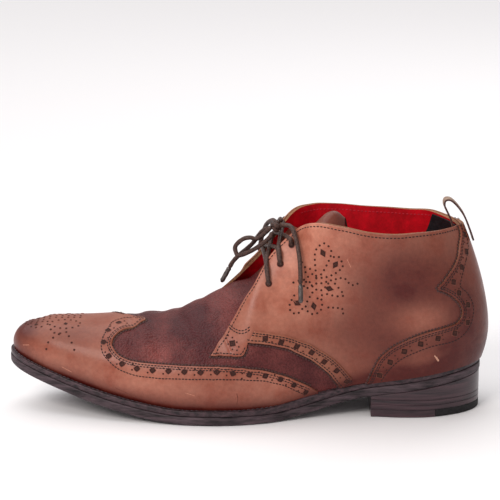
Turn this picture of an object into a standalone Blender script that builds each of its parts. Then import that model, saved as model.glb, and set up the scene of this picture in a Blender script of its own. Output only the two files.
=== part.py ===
# Wingtip ankle shoe for the left foot. Toe at -X, outer side at -Y, sole on Z = 0, metres.
# A station is a row of the section table: 0 at the back of the heel, 23 at the toe tip.
# A height on the upper runs from 0 at the feather line to 1 at the ridge, facing or collar.

import math

import bmesh
import bpy
import numpy as np

# Driving sizes
SOLE_LENGTH = 0.317
BALL_WIDTH = 0.106
COLLAR_RISE = 0.100
TOE_SPRING = 0.030
HEEL_RISE = 0.0142
SEAT_SLOPE = 0.157
SOLE_THICKNESS = 0.0058
WELT_THICKNESS = 0.0035
WAIST_THICKENING = 0.0020
INSOLE_THICKNESS = 0.0030
WALL = 0.0018
SKIN = 0.0011
TONGUE_THICKNESS = 0.0020
LINING_THICKNESS = 0.0008
LACE_RADIUS = 0.0014
AGLET_RADIUS = 0.0018
STRAP_THICKNESS = 0.0012
TOP_PIECE_THICKNESS = 0.0050
LIFT_THICKNESS = 0.0030
GAP = 0.0003

# Shares of the sole's length where the flat tread starts and ends, and where the heel starts
TREAD_FRONT = -0.120
TREAD_BACK = 0.038
HEEL_BREAST = 0.262
WAIST_CENTRE = 0.120
WAIST_SPREAD = 0.070
APEX = 12
TIP = 23
SURE = 1e-7

# Sections of the upper at the feather line, from heel back to toe tip. Hundredths of the sole's
# length (x), of the ball width (outer, inner half widths and bulge), and of the section's own
# rise (height of the bulge); then the exponents of the arch, upwards and sideways.
# Columns: x, outer, inner, bulge, bulge_height, upward, sideways
SECTIONS = (
    (49.3, 0.0, 0.0, 3.4, 23, 1.60, 1.00),
    (48.5, 9.6, 9.6, 3.2, 23, 1.60, 1.00),
    (46.1, 17.8, 18.3, 2.8, 24, 1.60, 1.00),
    (42.6, 24.2, 24.7, 2.5, 26, 1.70, 1.00),
    (38.2, 28.3, 28.5, 2.1, 27, 1.80, 1.00),
    (32.8, 29.2, 28.8, 2.3, 27, 1.80, 1.00),
    (27.1, 27.8, 26.9, 2.8, 26, 1.80, 1.00),
    (21.5, 27.2, 25.0, 3.2, 24, 1.80, 1.00),
    (15.8, 29.2, 26.0, 3.2, 22, 1.70, 1.05),
    (10.4, 33.0, 29.7, 3.0, 20, 1.70, 1.10),
    (5.0, 37.7, 35.4, 2.8, 19, 1.60, 1.20),
    (-0.3, 41.3, 41.0, 2.8, 19, 1.60, 1.35),
    (-5.7, 42.5, 44.8, 3.0, 20, 1.70, 1.60),
    (-11.0, 41.7, 47.2, 3.2, 22, 1.80, 1.80),
    (-16.4, 39.2, 47.0, 3.2, 24, 1.90, 1.90),
    (-21.8, 35.7, 43.7, 3.0, 25, 2.00, 2.10),
    (-27.1, 31.7, 38.7, 2.8, 27, 2.10, 2.20),
    (-32.2, 27.0, 33.5, 2.6, 30, 2.20, 2.30),
    (-36.9, 22.1, 28.5, 2.5, 32, 2.20, 2.40),
    (-41.0, 17.4, 24.2, 2.3, 34, 2.30, 2.50),
    (-44.5, 12.6, 19.6, 1.8, 36, 2.20, 2.20),
    (-47.0, 7.5, 14.3, 1.2, 36, 2.00, 1.90),
    (-48.3, 2.1, 9.1, 0.7, 35, 1.80, 1.70),
    (-48.7, -2.8, 2.8, 0.5, 35, 1.80, 1.70),
)
# Top edge at stations 0 to 11: collar and facings of the outer and the inner side, in the same
# shares, with the rise over the feather line in hundredths of the collar's rise.
# Columns: outer_x, outer_y, outer_rise, inner_x, inner_y, inner_rise
EDGES = (
    (44.7, 0.0, 89.0, 44.7, 0.0, 89.0),
    (43.9, 6.1, 89.7, 44.0, 8.0, 90.1),
    (42.1, 13.7, 91.2, 42.1, 17.0, 92.5),
    (39.1, 22.2, 93.2, 39.1, 26.4, 95.4),
    (35.0, 28.1, 95.5, 35.0, 30.2, 97.3),
    (30.3, 30.9, 97.8, 30.3, 32.1, 100.7),
    (24.9, 30.7, 102.0, 24.6, 31.6, 104.7),
    (19.6, 28.5, 108.5, 18.9, 29.7, 109.9),
    (14.5, 22.2, 113.0, 14.2, 25.5, 114.2),
    (10.7, 13.5, 109.6, 9.6, 16.2, 114.3),
    (5.4, 15.8, 96.1, 4.3, 14.0, 95.3),
    (0.0, 24.5, 70.5, -0.3, 17.6, 79.6),
)
# Ridge over the instep and the toe at stations 11 to 23
# Columns: x, y, rise
RIDGE = (
    (0.0, 3.8, 76.6),
    (-5.0, 3.8, 69.1),
    (-10.7, 3.8, 60.1),
    (-16.4, 3.8, 51.8),
    (-21.8, 3.8, 47.3),
    (-27.1, 3.8, 41.7),
    (-32.2, 3.8, 36.7),
    (-36.9, 3.8, 32.3),
    (-41.0, 3.8, 27.8),
    (-43.7, 3.8, 22.0),
    (-45.2, 3.8, 18.5),
    (-46.1, 3.4, 15.9),
    (-46.5, 2.8, 14.6),
)
# Outline of the sole at the same kind of stations
# Columns: x, outer, inner
SOLE = (
    (49.8, 0.0, 0.0),
    (49.1, 9.0, 9.0),
    (47.0, 17.5, 17.7),
    (43.5, 24.7, 25.1),
    (38.5, 30.2, 30.6),
    (32.8, 31.1, 30.6),
    (27.1, 29.2, 28.5),
    (21.5, 29.1, 27.2),
    (15.8, 31.7, 28.7),
    (10.4, 35.8, 32.8),
    (5.0, 41.5, 38.9),
    (-0.3, 45.7, 45.1),
    (-5.7, 47.4, 49.4),
    (-11.0, 46.6, 52.1),
    (-16.4, 44.2, 52.1),
    (-21.8, 40.8, 48.7),
    (-27.1, 37.0, 43.8),
    (-32.2, 32.5, 38.7),
    (-36.9, 27.2, 33.6),
    (-41.3, 22.1, 28.3),
    (-45.1, 17.4, 23.2),
    (-47.9, 11.7, 17.5),
    (-49.5, 4.5, 10.4),
    (-50.0, -2.4, 2.4),
)


def clear_scene():
    for found in list(bpy.data.objects):
        bpy.data.objects.remove(found, do_unlink=True)


def material(name, colour, roughness):
    made = bpy.data.materials.new(name)
    made.use_nodes = True
    shader = made.node_tree.nodes["Principled BSDF"]
    shader.inputs["Base Color"].default_value = (*colour, 1.0)
    shader.inputs["Roughness"].default_value = roughness
    made.diffuse_color = (*colour, 1.0)
    return made


def smooth_rows(rows, place):
    # Cubic through the rows, which start and end with one row that only steers the slope
    first = np.clip(np.floor(place).astype(int), 0, len(rows) - 4)
    part = (place - first)[:, None]
    a, b, c, d = rows[first], rows[first + 1], rows[first + 2], rows[first + 3]
    inner = 2 * a - 5 * b + 4 * c - d + part * (3 * (b - c) + d - a)
    return b + 0.5 * part * (c - a + part * inner)


def ground(x):
    # Height of the tread over the floor: toe spring, flat, waist that eases into the sloped seat
    toe_reach = (TREAD_FRONT + 0.5) * SOLE_LENGTH
    toe = np.maximum(0.0, TREAD_FRONT * SOLE_LENGTH - x) / toe_reach
    waist_reach = (HEEL_BREAST - TREAD_BACK) * SOLE_LENGTH
    part = np.clip((x - TREAD_BACK * SOLE_LENGTH) / waist_reach, 0.0, 1.0)
    ease = 3 * part**2 - 2 * part**3
    join = (part**3 - part**2) * SEAT_SLOPE * waist_reach
    seat = np.maximum(0.0, x - HEEL_BREAST * SOLE_LENGTH) * SEAT_SLOPE
    return TOE_SPRING * toe**1.6 + HEEL_RISE * ease + join + seat


def welt_thickness(x):
    off = (x / SOLE_LENGTH - WAIST_CENTRE) / WAIST_SPREAD
    return WELT_THICKNESS + WAIST_THICKENING * np.exp(-(off**2))


def welt_top(x):
    return ground(x) + SOLE_THICKNESS + GAP + welt_thickness(x)


def feather_height(x):
    return welt_top(x) + GAP


def outline_rows(side):
    # x and signed y of the sole's outline, with the other side's rows as the two steering rows
    rows = np.array(SOLE) * [0.01 * SOLE_LENGTH, 0.01 * BALL_WIDTH, 0.01 * BALL_WIDTH]
    own, other = (1, 2) if side < 0 else (2, 1)
    main = np.stack([rows[:, 0], side * rows[:, own]], 1)
    steer = np.stack([rows[:, 0], -side * rows[:, other]], 1)
    return np.concatenate([steer[1:2], main, steer[-2:-1]])


def section_rows(side):
    table = np.array(SECTIONS)
    own, other = (1, 2) if side < 0 else (2, 1)

    def read(column, sign):
        return np.stack(
            [
                table[:, 0] * 0.01 * SOLE_LENGTH,
                sign * table[:, column] * 0.01 * BALL_WIDTH,
                table[:, 3] * 0.01 * BALL_WIDTH,
                table[:, 4] * 0.01,
                table[:, 5],
                table[:, 6],
            ],
            1,
        )

    main, steer = read(own, side), read(other, -side)
    return np.concatenate([steer[1:2], main, steer[-2:-1]])


def top_rows(side):
    # Rows of the ridge and of the edge, each with its steering rows
    unit = np.array([0.01 * SOLE_LENGTH, 0.01 * BALL_WIDTH, 0.01 * COLLAR_RISE])
    ridge = np.array(RIDGE) * unit
    ridge = np.concatenate([2 * ridge[:1] - ridge[1:2], ridge, ridge[-2:-1]])
    table = np.array(EDGES)
    own, other = (table[:, :3], table[:, 3:]) if side < 0 else (table[:, 3:], table[:, :3])
    sign = np.array([1, side, 1])
    flip = np.array([1, -side, 1])
    edge = np.concatenate([other[1:2] * unit * flip, own * unit * sign, ridge[2:3]])
    edge = np.concatenate([edge, 2 * edge[-1:] - edge[-2:-1]])
    return ridge, edge


def tops(side, station):
    ridge, edge = top_rows(side)
    on_ridge = smooth_rows(ridge, np.maximum(station - APEX + 1, 0.0))
    on_edge = smooth_rows(edge, np.minimum(station, APEX))
    return np.where((station >= APEX)[:, None], on_ridge, on_edge)


def feathers(side, station):
    rows = smooth_rows(section_rows(side), station)
    step = 0.01
    ahead = smooth_rows(section_rows(side), station + step)[:, :2]
    behind = smooth_rows(section_rows(side), station - step)[:, :2]
    run = ahead - behind
    out = side * np.stack([run[:, 1], -run[:, 0]], 1)
    return rows, out / np.linalg.norm(out, axis=1)[:, None]


def form(side, station, height, fine=40):
    # Point of the upper's outer face. A section rises from the feather line along a parabola to
    # its bulge, then along a superellipse to its top, and height is the share of its length.
    station = np.asarray(station, float)
    height = np.asarray(height, float)
    rows, out = feathers(side, station)
    top = tops(side, station)
    foot = np.column_stack([rows[:, :2], feather_height(rows[:, 0])])
    top[:, 2] += foot[:, 2]
    bulge, bulge_height, upward, sideways = (rows[:, i : i + 1] for i in range(2, 6))
    low = np.linspace(0.0, 1.0, 8)[None, :]
    turn = np.linspace(0.0, math.pi / 2, fine)[None, 1:]
    rise = top[:, 2:] - foot[:, 2:]
    low_out = bulge * (1 - (1 - low) ** 2)
    low_plan = foot[:, None, :2] + out[:, None, :] * low_out[:, :, None]
    low_z = foot[:, 2:] + rise * bulge_height * low
    share = np.cos(turn) ** (2 / sideways)
    climb = np.sin(turn) ** (2 / upward)
    wide = foot[:, :2] + out * bulge
    high_plan = top[:, None, :2] + (wide - top[:, :2])[:, None, :] * share[:, :, None]
    high_z = foot[:, 2:] + rise * (bulge_height + (1 - bulge_height) * climb)
    plan = np.concatenate([low_plan, high_plan], 1)
    path = np.concatenate([plan, np.concatenate([low_z, high_z], 1)[:, :, None]], 2)
    steps = np.linalg.norm(np.diff(path, axis=1), axis=2)
    along = np.concatenate([np.zeros((len(path), 1)), np.cumsum(steps, 1)], 1)
    along /= np.maximum(along[:, -1:], SURE)
    last = np.clip((along < height[:, None]).sum(1), 1, along.shape[1] - 1)
    each = np.arange(len(path))
    start, end = along[each, last - 1], along[each, last]
    part = ((height - start) / np.maximum(end - start, SURE))[:, None]
    return path[each, last - 1] * (1 - part) + path[each, last] * part


def outward(side, station, height):
    # Unit normal of the upper's outer face. The line down the toe's tip belongs to both sides.
    found = one_normal(side, station, height)
    tip = np.asarray(station, float) > TIP - SURE
    both = found + one_normal(-side, station, height)
    found[tip] = both[tip]
    return found / np.linalg.norm(found, axis=1)[:, None]


def one_normal(side, station, height):
    # The same from small steps along both directions of one side
    step = 0.04
    station = np.clip(np.asarray(station, float), 0.0, TIP - 0.15)
    height = np.clip(np.asarray(height, float), 0.0, 1.0)
    across = form(side, np.minimum(station + step, TIP), height)
    across -= form(side, np.maximum(station - step, 0.0), height)
    up = form(side, station, np.minimum(height + step, 1.0))
    up -= form(side, station, np.maximum(height - step, 0.0))
    found = side * np.cross(across, up)
    return found / np.linalg.norm(found, axis=1)[:, None]


def thicken(name, patches, finish):
    # Closed solid between the outer and the inner grid of each patch. Points that coincide in
    # both grids are one point, and every open edge of the joined sheet gets a rim.
    found, outer, inner, faces = {}, [], [], []
    for out_grid, in_grid in patches:
        rows, columns = out_grid.shape[:2]
        ids = np.zeros((rows, columns), int)
        for i in range(rows):
            for j in range(columns):
                key = tuple(np.round(out_grid[i, j] / 2e-5).astype(int))
                if key not in found:
                    found[key] = len(outer)
                    outer.append(out_grid[i, j])
                    inner.append(in_grid[i, j])
                ids[i, j] = found[key]
        for i in range(rows - 1):
            for j in range(columns - 1):
                ring = (ids[i, j], ids[i + 1, j], ids[i + 1, j + 1], ids[i, j + 1])
                ring = [v for n, v in enumerate(ring) if v != ring[n - 1]]
                if len(set(ring)) > 2:
                    faces.append(ring)
    sheet = bmesh.new()
    points = [sheet.verts.new(p) for p in outer]
    for ring in faces:
        sheet.faces.new([points[v] for v in ring])
    bmesh.ops.recalc_face_normals(sheet, faces=sheet.faces[:])
    backs = [sheet.verts.new(p) for p in inner]
    sheet.verts.index_update()
    front = [[v.index for v in f.verts] for f in sheet.faces]
    rims = [
        (e.verts[0].index, e.verts[1].index) for e in sheet.edges if len(e.link_faces) == 1
    ]
    for ring in front:
        sheet.faces.new([backs[v] for v in reversed(ring)])
    for start, end in rims:
        sheet.faces.new((points[start], points[end], backs[end], backs[start]))
    bmesh.ops.recalc_face_normals(sheet, faces=sheet.faces[:])
    return add_mesh(name, sheet, finish)


def add_mesh(name, sheet, finish):
    mesh = bpy.data.meshes.new(name)
    sheet.to_mesh(mesh)
    sheet.free()
    mesh.materials.append(finish)
    made = bpy.data.objects.new(name, mesh)
    bpy.context.scene.collection.objects.link(made)
    return made


def lifted(side, station, height, lift):
    shape = station.shape
    station, height = station.ravel(), height.ravel()
    points = form(side, station, height) + lift * outward(side, station, height)
    return points.reshape(*shape, 3)


def skin_patch(side, station, height, low, high):
    return lifted(side, station, height, high), lifted(side, station, height, low)


def ruled(rows, parts):
    # Grid of stations and heights between the low and the high edge of a panel's rows
    table = np.array(rows)
    part = np.array(parts)[None, :]
    station = table[:, :1] * (1 - part) + table[:, 2:3] * part
    height = table[:, 1:2] * (1 - part) + table[:, 3:4] * part
    return station, height


# Layers over the upper's face: quarters and cap, then strips and counter. The flat facets of
# a curved layer take up to this much of the gap under it.
FACET_LOSS = 0.0003
FIRST_LOW = GAP + FACET_LOSS
FIRST_HIGH = FIRST_LOW + SKIN
SECOND_LOW = FIRST_HIGH + GAP + FACET_LOSS
SECOND_HIGH = SECOND_LOW + SKIN
OVER_WELT = 0.03
CAP_OVER_WELT = 0.075
UNDER_COLLAR = 0.99

STATIONS = np.concatenate(
    [np.arange(0, 4, 0.5), np.arange(4, 7, 1.0), np.arange(7, 14, 0.5), np.arange(14, 19, 1.0)]
    + [np.arange(19, 23.1, 0.5)]
)
UPPER_HEIGHTS = np.linspace(0.0, 1.0, 11)


def make_upper(finish):
    station, height = np.meshgrid(STATIONS, UPPER_HEIGHTS, indexing="ij")
    patches = []
    for side in (-1, 1):
        outer = lifted(side, station, height, 0.0)
        inner = lifted(side, station, height, -WALL)
        inner[0, :, 1] = 0.0
        patches.append((outer, inner))
    ridge = station[:, -1] >= APEX
    middle = 0.5 * (patches[0][1][ridge, -1] + patches[1][1][ridge, -1])
    for outer, inner in patches:
        inner[ridge, -1] = middle
    return thicken("upper", patches, finish)


# Upper edge of the wing: station and height, from the notch back to the waist
WING_EDGE = (
    (16.10, 0.510),
    (15.85, 0.417),
    (15.45, 0.375),
    (15.00, 0.362),
    (14.55, 0.362),
    (14.10, 0.362),
    (13.25, 0.345),
    (12.40, 0.323),
    (11.95, 0.318),
    (11.50, 0.355),
    (11.10, 0.378),
    (10.65, 0.333),
    (10.20, 0.265),
    (9.80, 0.215),
    (9.35, 0.163),
    (8.95, 0.113),
    (8.60, 0.085),
)
# Peak of the cap over the toes: girth from the outer to the inner notch, and station
PEAK_EDGE = (
    (-0.50, 16.10),
    (-0.40, 16.02),
    (-0.30, 15.70),
    (-0.22, 15.15),
    (-0.15, 14.85),
    (-0.06, 15.15),
    (0.04, 15.65),
    (0.16, 15.95),
    (0.28, 16.10),
    (0.40, 16.12),
    (0.50, 16.10),
)


def make_wing_cap(finish):
    notch, notch_height = WING_EDGE[0]
    wing = np.array(WING_EDGE)
    share = np.linspace(0.0, 1.0, 5)[None, :]
    front_stations = [notch] + list(np.arange(17, 22.8, 0.5)) + [TIP]
    low = list(np.linspace(CAP_OVER_WELT, notch_height, 5))
    high = list(np.linspace(notch_height, 1.0, 6))[1:]
    patches = []
    for side in (-1, 1):
        station, height = np.meshgrid(front_stations, low + high, indexing="ij")
        patches.append(skin_patch(side, station, height, FIRST_LOW, FIRST_HIGH))
        station = wing[:, :1] + 0.0 * share
        height = CAP_OVER_WELT + (wing[:, 1:] - CAP_OVER_WELT) * share
        patches.append(skin_patch(side, station, height, FIRST_LOW, FIRST_HIGH))
        peak = np.array(PEAK_EDGE)
        girth = 1.0 - np.array([notch_height] + high)
        back = np.interp(side * girth, peak[:, 0], peak[:, 1])
        part = np.linspace(0.0, 1.0, 3)[:, None]
        station = notch + (np.minimum(back, notch) - notch)[None, :] * part
        height = np.tile(1.0 - girth, (3, 1))
        patches.append(skin_patch(side, station, height, FIRST_LOW, FIRST_HIGH))
    for grids in patches:
        for points in grids:
            floor = welt_top(points[..., 0]) + GAP + FACET_LOSS
            points[..., 2] = np.maximum(points[..., 2], floor)
    return thicken("wing_cap", weld_ridge(patches), finish)


def weld_ridge(patches):
    # The two sides meet on one line along the ridge, halfway between their lifted points
    for first, second in zip(patches[: len(patches) // 2], patches[len(patches) // 2 :]):
        for left, right in zip(first, second):
            if left.shape == right.shape and np.abs(left[0, -1] - right[0, -1]).max() < 0.002:
                middle = 0.5 * (left[:, -1] + right[:, -1])
                left[:, -1] = middle
                right[:, -1] = middle
    return patches


# Quarters: station and height of the low edge, then of the high edge, from the tab at the
# bottom of the facing to the back seam
# Columns: low_station, low_height, high_station, high_height
QUARTER_BACK = (
    (10.85, 0.585, 11.20, 0.88),
    (10.45, 0.505, 10.95, 0.985),
    (10.05, 0.425, 10.60, UNDER_COLLAR),
    (9.30, 0.335, 10.10, UNDER_COLLAR),
    (8.50, 0.235, 9.60, UNDER_COLLAR),
    (7.90, 0.145, 9.20, UNDER_COLLAR),
    (7.60, 0.095, 8.95, UNDER_COLLAR),
    (7.30, OVER_WELT, 8.70, UNDER_COLLAR),
    (7.05, OVER_WELT, 8.40, UNDER_COLLAR),
    (6.80, OVER_WELT, 8.10, UNDER_COLLAR),
    (6.45, OVER_WELT, 7.70, UNDER_COLLAR),
    (6.10, OVER_WELT, 7.25, UNDER_COLLAR),
    (5.70, OVER_WELT, 6.60, UNDER_COLLAR),
    (5.00, OVER_WELT, 5.80, UNDER_COLLAR),
    (4.40, OVER_WELT, 4.80, UNDER_COLLAR),
    (3.90, OVER_WELT, 4.10, UNDER_COLLAR),
    (3.40, OVER_WELT, 3.50, UNDER_COLLAR),
    (2.90, OVER_WELT, 2.95, UNDER_COLLAR),
    (2.40, OVER_WELT, 2.40, UNDER_COLLAR),
    (1.90, OVER_WELT, 1.90, UNDER_COLLAR),
    (1.40, OVER_WELT, 1.40, UNDER_COLLAR),
    (0.90, OVER_WELT, 0.90, UNDER_COLLAR),
    (0.45, OVER_WELT, 0.45, UNDER_COLLAR),
    (0.05, OVER_WELT, 0.05, UNDER_COLLAR),
)
QUARTER_FRONT = {
    -1: ((12.30, 0.40, 12.20, 0.43), (11.70, 0.43, 11.90, 0.57), (11.10, 0.48, 11.58, 0.70)),
    1: ((12.45, 0.40, 12.38, 0.45), (11.75, 0.43, 12.10, 0.64), (11.10, 0.48, 11.72, 0.84)),
}
# Brogue strips over the low edge of the quarters
STRIP = (
    (10.84, 0.595, 10.60, 0.65),
    (10.45, 0.510, 10.34, 0.59),
    (10.05, 0.430, 10.05, 0.51),
    (9.68, 0.385, 9.68, 0.465),
    (9.30, 0.340, 9.30, 0.415),
    (8.90, 0.290, 8.90, 0.375),
    (8.50, 0.240, 8.45, 0.335),
    (8.20, 0.195, 8.10, 0.285),
    (7.90, 0.150, 7.75, 0.235),
    (7.60, 0.095, 7.48, 0.190),
    (7.30, 0.040, 7.20, 0.140),
    (7.05, OVER_WELT, 6.88, 0.055),
)
# Counter: station and height at its outer edge, and the height at the back seam
COUNTER = (
    (6.30, OVER_WELT, OVER_WELT),
    (6.05, 0.100, 0.080),
    (5.85, 0.165, 0.130),
    (5.50, 0.220, 0.165),
    (5.15, 0.255, 0.200),
    (4.60, 0.290, 0.235),
    (4.05, 0.310, 0.270),
    (3.60, 0.318, 0.290),
    (3.20, 0.325, 0.310),
    (2.85, 0.335, 0.335),
    (2.60, 0.365, 0.370),
    (2.50, 0.410, 0.410),
    (2.60, 0.465, 0.460),
    (2.95, 0.530, 0.510),
    (3.30, 0.570, 0.550),
    (3.60, 0.600, 0.590),
    (3.30, 0.640, 0.630),
    (3.00, 0.680, 0.670),
    (2.50, 0.740, 0.720),
    (2.15, 0.790, 0.770),
    (1.95, 0.830, 0.820),
    (1.75, 0.870, 0.870),
    (1.25, 0.940, 0.940),
    (1.20, 0.975, 0.975),
)


def make_quarter(name, side, finish):
    station, height = ruled(QUARTER_FRONT[side] + QUARTER_BACK, np.linspace(0, 1, 11))
    return thicken(name, [skin_patch(side, station, height, FIRST_LOW, FIRST_HIGH)], finish)


def make_strip(name, side, finish):
    station, height = ruled(STRIP, (0.0, 0.5, 1.0))
    return thicken(name, [skin_patch(side, station, height, SECOND_LOW, SECOND_HIGH)], finish)


def make_counter(finish):
    rows = [(0.0, back, edge, height) for edge, height, back in COUNTER]
    station, height = ruled(rows, np.linspace(0, 1, 9))
    patches = []
    for side in (-1, 1):
        outer, inner = skin_patch(side, station, height, SECOND_LOW, SECOND_HIGH)
        outer[:, 0, 1] = 0.0
        inner[:, 0, 1] = 0.0
        patches.append((outer, inner))
    return thicken("heel_counter", patches, finish)


def make_lining_patch(finish):
    # Patch on the lining inside the back of the collar, from the outer side to the inner side
    rows = ((0.0, 0.80, 0.0, 0.96), (0.5, 0.80, 0.5, 0.96), (1.0, 0.80, 1.0, 0.96))
    more = ((1.5, 0.80, 1.5, 0.96), (2.0, 0.80, 2.0, 0.96), (2.5, 0.80, 2.5, 0.96))
    face, back = -(WALL + GAP + LINING_THICKNESS), -(WALL + GAP)
    patches = []
    for side, used in ((-1, rows), (1, rows + more)):
        station, height = ruled(used, (0.0, 0.5, 1.0))
        outer, inner = skin_patch(side, station, height, face, back)
        outer[0, :, 1] = 0.0
        inner[0, :, 1] = 0.0
        patches.append((outer, inner))
    return thicken("heel_lining_patch", patches, finish)


# Tongue along its centre: x in hundredths of the sole's length, height over the ball's feather
# line in hundredths of the collar's rise, half width and sag in hundredths of the ball width
# Columns: x, rise, half_width, sag
TONGUE = (
    (-10.7, 57.5, 22.0, 11.0),
    (-7.0, 61.4, 22.0, 11.5),
    (-3.8, 65.2, 20.5, 11.0),
    (0.0, 72.6, 19.0, 10.5),
    (3.8, 81.6, 17.5, 9.5),
    (6.9, 92.2, 17.0, 9.0),
    (10.1, 103.2, 16.5, 8.5),
    (13.2, 114.0, 16.5, 7.5),
    (15.8, 120.8, 17.0, 6.5),
    (17.5, 121.2, 16.5, 6.0),
    (18.6, 118.4, 15.5, 5.5),
)
TONGUE_Y = 0.018


def make_tongue(finish):
    table = np.array(TONGUE) * 0.01
    centre = np.zeros((len(table), 3))
    centre[:, 0] = table[:, 0] * SOLE_LENGTH
    centre[:, 1] = TONGUE_Y * BALL_WIDTH
    centre[:, 2] = feather_height(0.0) + table[:, 1] * COLLAR_RISE
    run = np.gradient(centre, axis=0)
    up = np.stack([-run[:, 2], 0 * run[:, 0], run[:, 0]], 1)
    up /= np.linalg.norm(up, axis=1)[:, None]
    across = np.linspace(-1.0, 1.0, 9)[None, :, None]
    wide = table[:, 2, None, None] * BALL_WIDTH * across * np.array([0.0, 1.0, 0.0])
    sag = table[:, 3, None, None] * BALL_WIDTH * across**2
    outer = centre[:, None] + wide - sag * up[:, None]
    inner = outer - up[:, None] * TONGUE_THICKNESS
    return thicken("tongue", [(outer, inner)], finish)


SOLE_STATIONS = np.array(
    list(np.arange(0, 4, 0.5)) + list(np.arange(4, 19, 1.0)) + list(np.arange(19, 23.1, 0.5))
)
WELT_LAP = 0.0025


def ring_points(side, station, kind, inset):
    # Plan points of the sole's outline or of the feather line, moved inwards by the inset
    rows = outline_rows(side) if kind == "sole" else section_rows(side)[:, :2]
    step = 0.01
    run = smooth_rows(rows, station + step) - smooth_rows(rows, station - step)
    out = side * np.stack([run[:, 1], -run[:, 0]], 1)
    out /= np.linalg.norm(out, axis=1)[:, None]
    return smooth_rows(rows, station) - inset * out


def loft(name, levels, station, finish, hollow=False):
    # Stack of rings, each with an outline, an inset and a height function. The first and the
    # last are capped by strips from side to side, or joined to each other when hollow.
    sheet = bmesh.new()
    rings = []
    for kind, inset, height in levels:
        sides = []
        for side in (-1, 1):
            plan = ring_points(side, station, kind, inset)
            z = np.asarray(height(plan[:, 0])) + 0.0 * plan[:, 0]
            sides.append([sheet.verts.new((*p, h)) for p, h in zip(plan, z)])
        rings.append(sides)
    pairs = list(zip(rings, rings[1:]))
    if hollow:
        pairs.append((rings[-1], rings[0]))
    for low, high in pairs:
        for a, b in zip(low, high):
            for i in range(len(station) - 1):
                sheet.faces.new((a[i], a[i + 1], b[i + 1], b[i]))
        for end in (0, -1):
            ends = (low[0][end], low[1][end], high[1][end], high[0][end])
            if (ends[0].co - ends[1].co).length > 1e-5:
                sheet.faces.new(ends)
    if not hollow:
        for outer, inner in (rings[0], rings[-1]):
            for i in range(len(station) - 1):
                sheet.faces.new((outer[i], outer[i + 1], inner[i + 1], inner[i]))
    bmesh.ops.remove_doubles(sheet, verts=sheet.verts[:], dist=1e-6)
    bmesh.ops.dissolve_degenerate(sheet, edges=sheet.edges[:], dist=1e-6)
    bmesh.ops.recalc_face_normals(sheet, faces=sheet.faces[:])
    return add_mesh(name, sheet, finish)


def sole_top(x):
    return ground(x) + SOLE_THICKNESS


def make_sole(leather, dark):
    core = WELT_LAP + GAP
    levels = (
        ("sole", 0.0, ground),
        ("sole", 0.0, sole_top),
        ("feather", core, sole_top),
        ("feather", core, welt_top),
    )
    loft("outsole", levels, SOLE_STATIONS, leather)
    levels = (
        ("sole", 0.0004, lambda x: sole_top(x) + GAP),
        ("sole", 0.0004, welt_top),
        ("feather", WELT_LAP, welt_top),
        ("feather", WELT_LAP, lambda x: sole_top(x) + GAP),
    )
    loft("welt", levels, SOLE_STATIONS, dark, hollow=True)


def make_insole(finish):
    inset = WALL * 1.25 + 4 * GAP
    levels = (
        ("feather", inset, lambda x: feather_height(x)),
        ("feather", inset, lambda x: feather_height(x) + INSOLE_THICKNESS),
    )
    loft("insole", levels, SOLE_STATIONS, finish)


HEEL_INSET = 0.0004
TIP_SPLIT = 3.75
HEEL_END = 6.16


def make_heel(leather, rubber):
    every = [0.0, 0.5, 1.0, 1.5, 2.0, 2.5, 3.0, 3.5, 4.0, 5.0, HEEL_END]
    whole = np.array(every)
    back = np.array([k for k in every if k < TIP_SPLIT] + [TIP_SPLIT])
    front = np.array([TIP_SPLIT + 0.03] + [k for k in every if k > TIP_SPLIT + 0.1])
    levels = (("sole", HEEL_INSET, lambda x: 0.0), ("sole", HEEL_INSET, lambda x: TOP_PIECE_THICKNESS))
    loft("heel_tip", levels, back, rubber)
    loft("top_piece", levels, front, leather)
    low = TOP_PIECE_THICKNESS + GAP
    for number in (1, 2):
        high = low + LIFT_THICKNESS
        levels = (
            ("sole", HEEL_INSET, lambda x, z=low: z),
            ("sole", HEEL_INSET, lambda x, z=high: z),
        )
        loft("heel_lift_%d" % number, levels, whole, leather)
        low = high + GAP
    levels = (("sole", HEEL_INSET, lambda x: low), ("sole", HEEL_INSET, lambda x: ground(x) - GAP))
    loft("heel_lift_3", levels, whole, leather)


# Pull loop: centre line over the collar at the back seam, in millimetres from the seam's top
LOOP_ROUTE = (
    (9.4, -10.5),
    (7.9, -6.0),
    (6.2, -1.5),
    (4.4, 3.0),
    (1.8, 8.0),
    (-2.2, 13.2),
    (-6.2, 16.6),
    (-9.6, 16.4),
    (-10.2, 13.0),
    (-8.0, 8.0),
    (-5.6, 3.0),
    (-4.1, -2.0),
    (-3.1, -6.5),
)
LOOP_HALF_WIDTH = 0.0045


def make_pull_loop(finish):
    seam = form(-1, [0.0], [1.0])[0]
    path = seam[[0, 2]] + np.array(LOOP_ROUTE) * 0.001
    run = np.gradient(path, axis=0)
    side = np.stack([-run[:, 1], run[:, 0]], 1)
    side /= np.linalg.norm(side, axis=1)[:, None]
    grids = []
    for half in (0.5, -0.5):
        flat = path + side * STRAP_THICKNESS * half
        rows = [[(x, y, z) for y in (-LOOP_HALF_WIDTH, LOOP_HALF_WIDTH)] for x, z in flat]
        grids.append(np.array(rows))
    return thicken("pull_loop", [tuple(grids)], finish)


# Eyelets, from the lowest: station and height on the outer and on the inner facing
EYELETS = {
    -1: ((10.10, 0.83), (9.65, 0.875), (9.20, 0.93)),
    1: ((10.05, 0.85), (9.58, 0.89), (9.15, 0.935)),
}


def over_facing(side, station, height, lift):
    return lifted(side, np.array([station]), np.array([height]), lift)[0]


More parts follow.
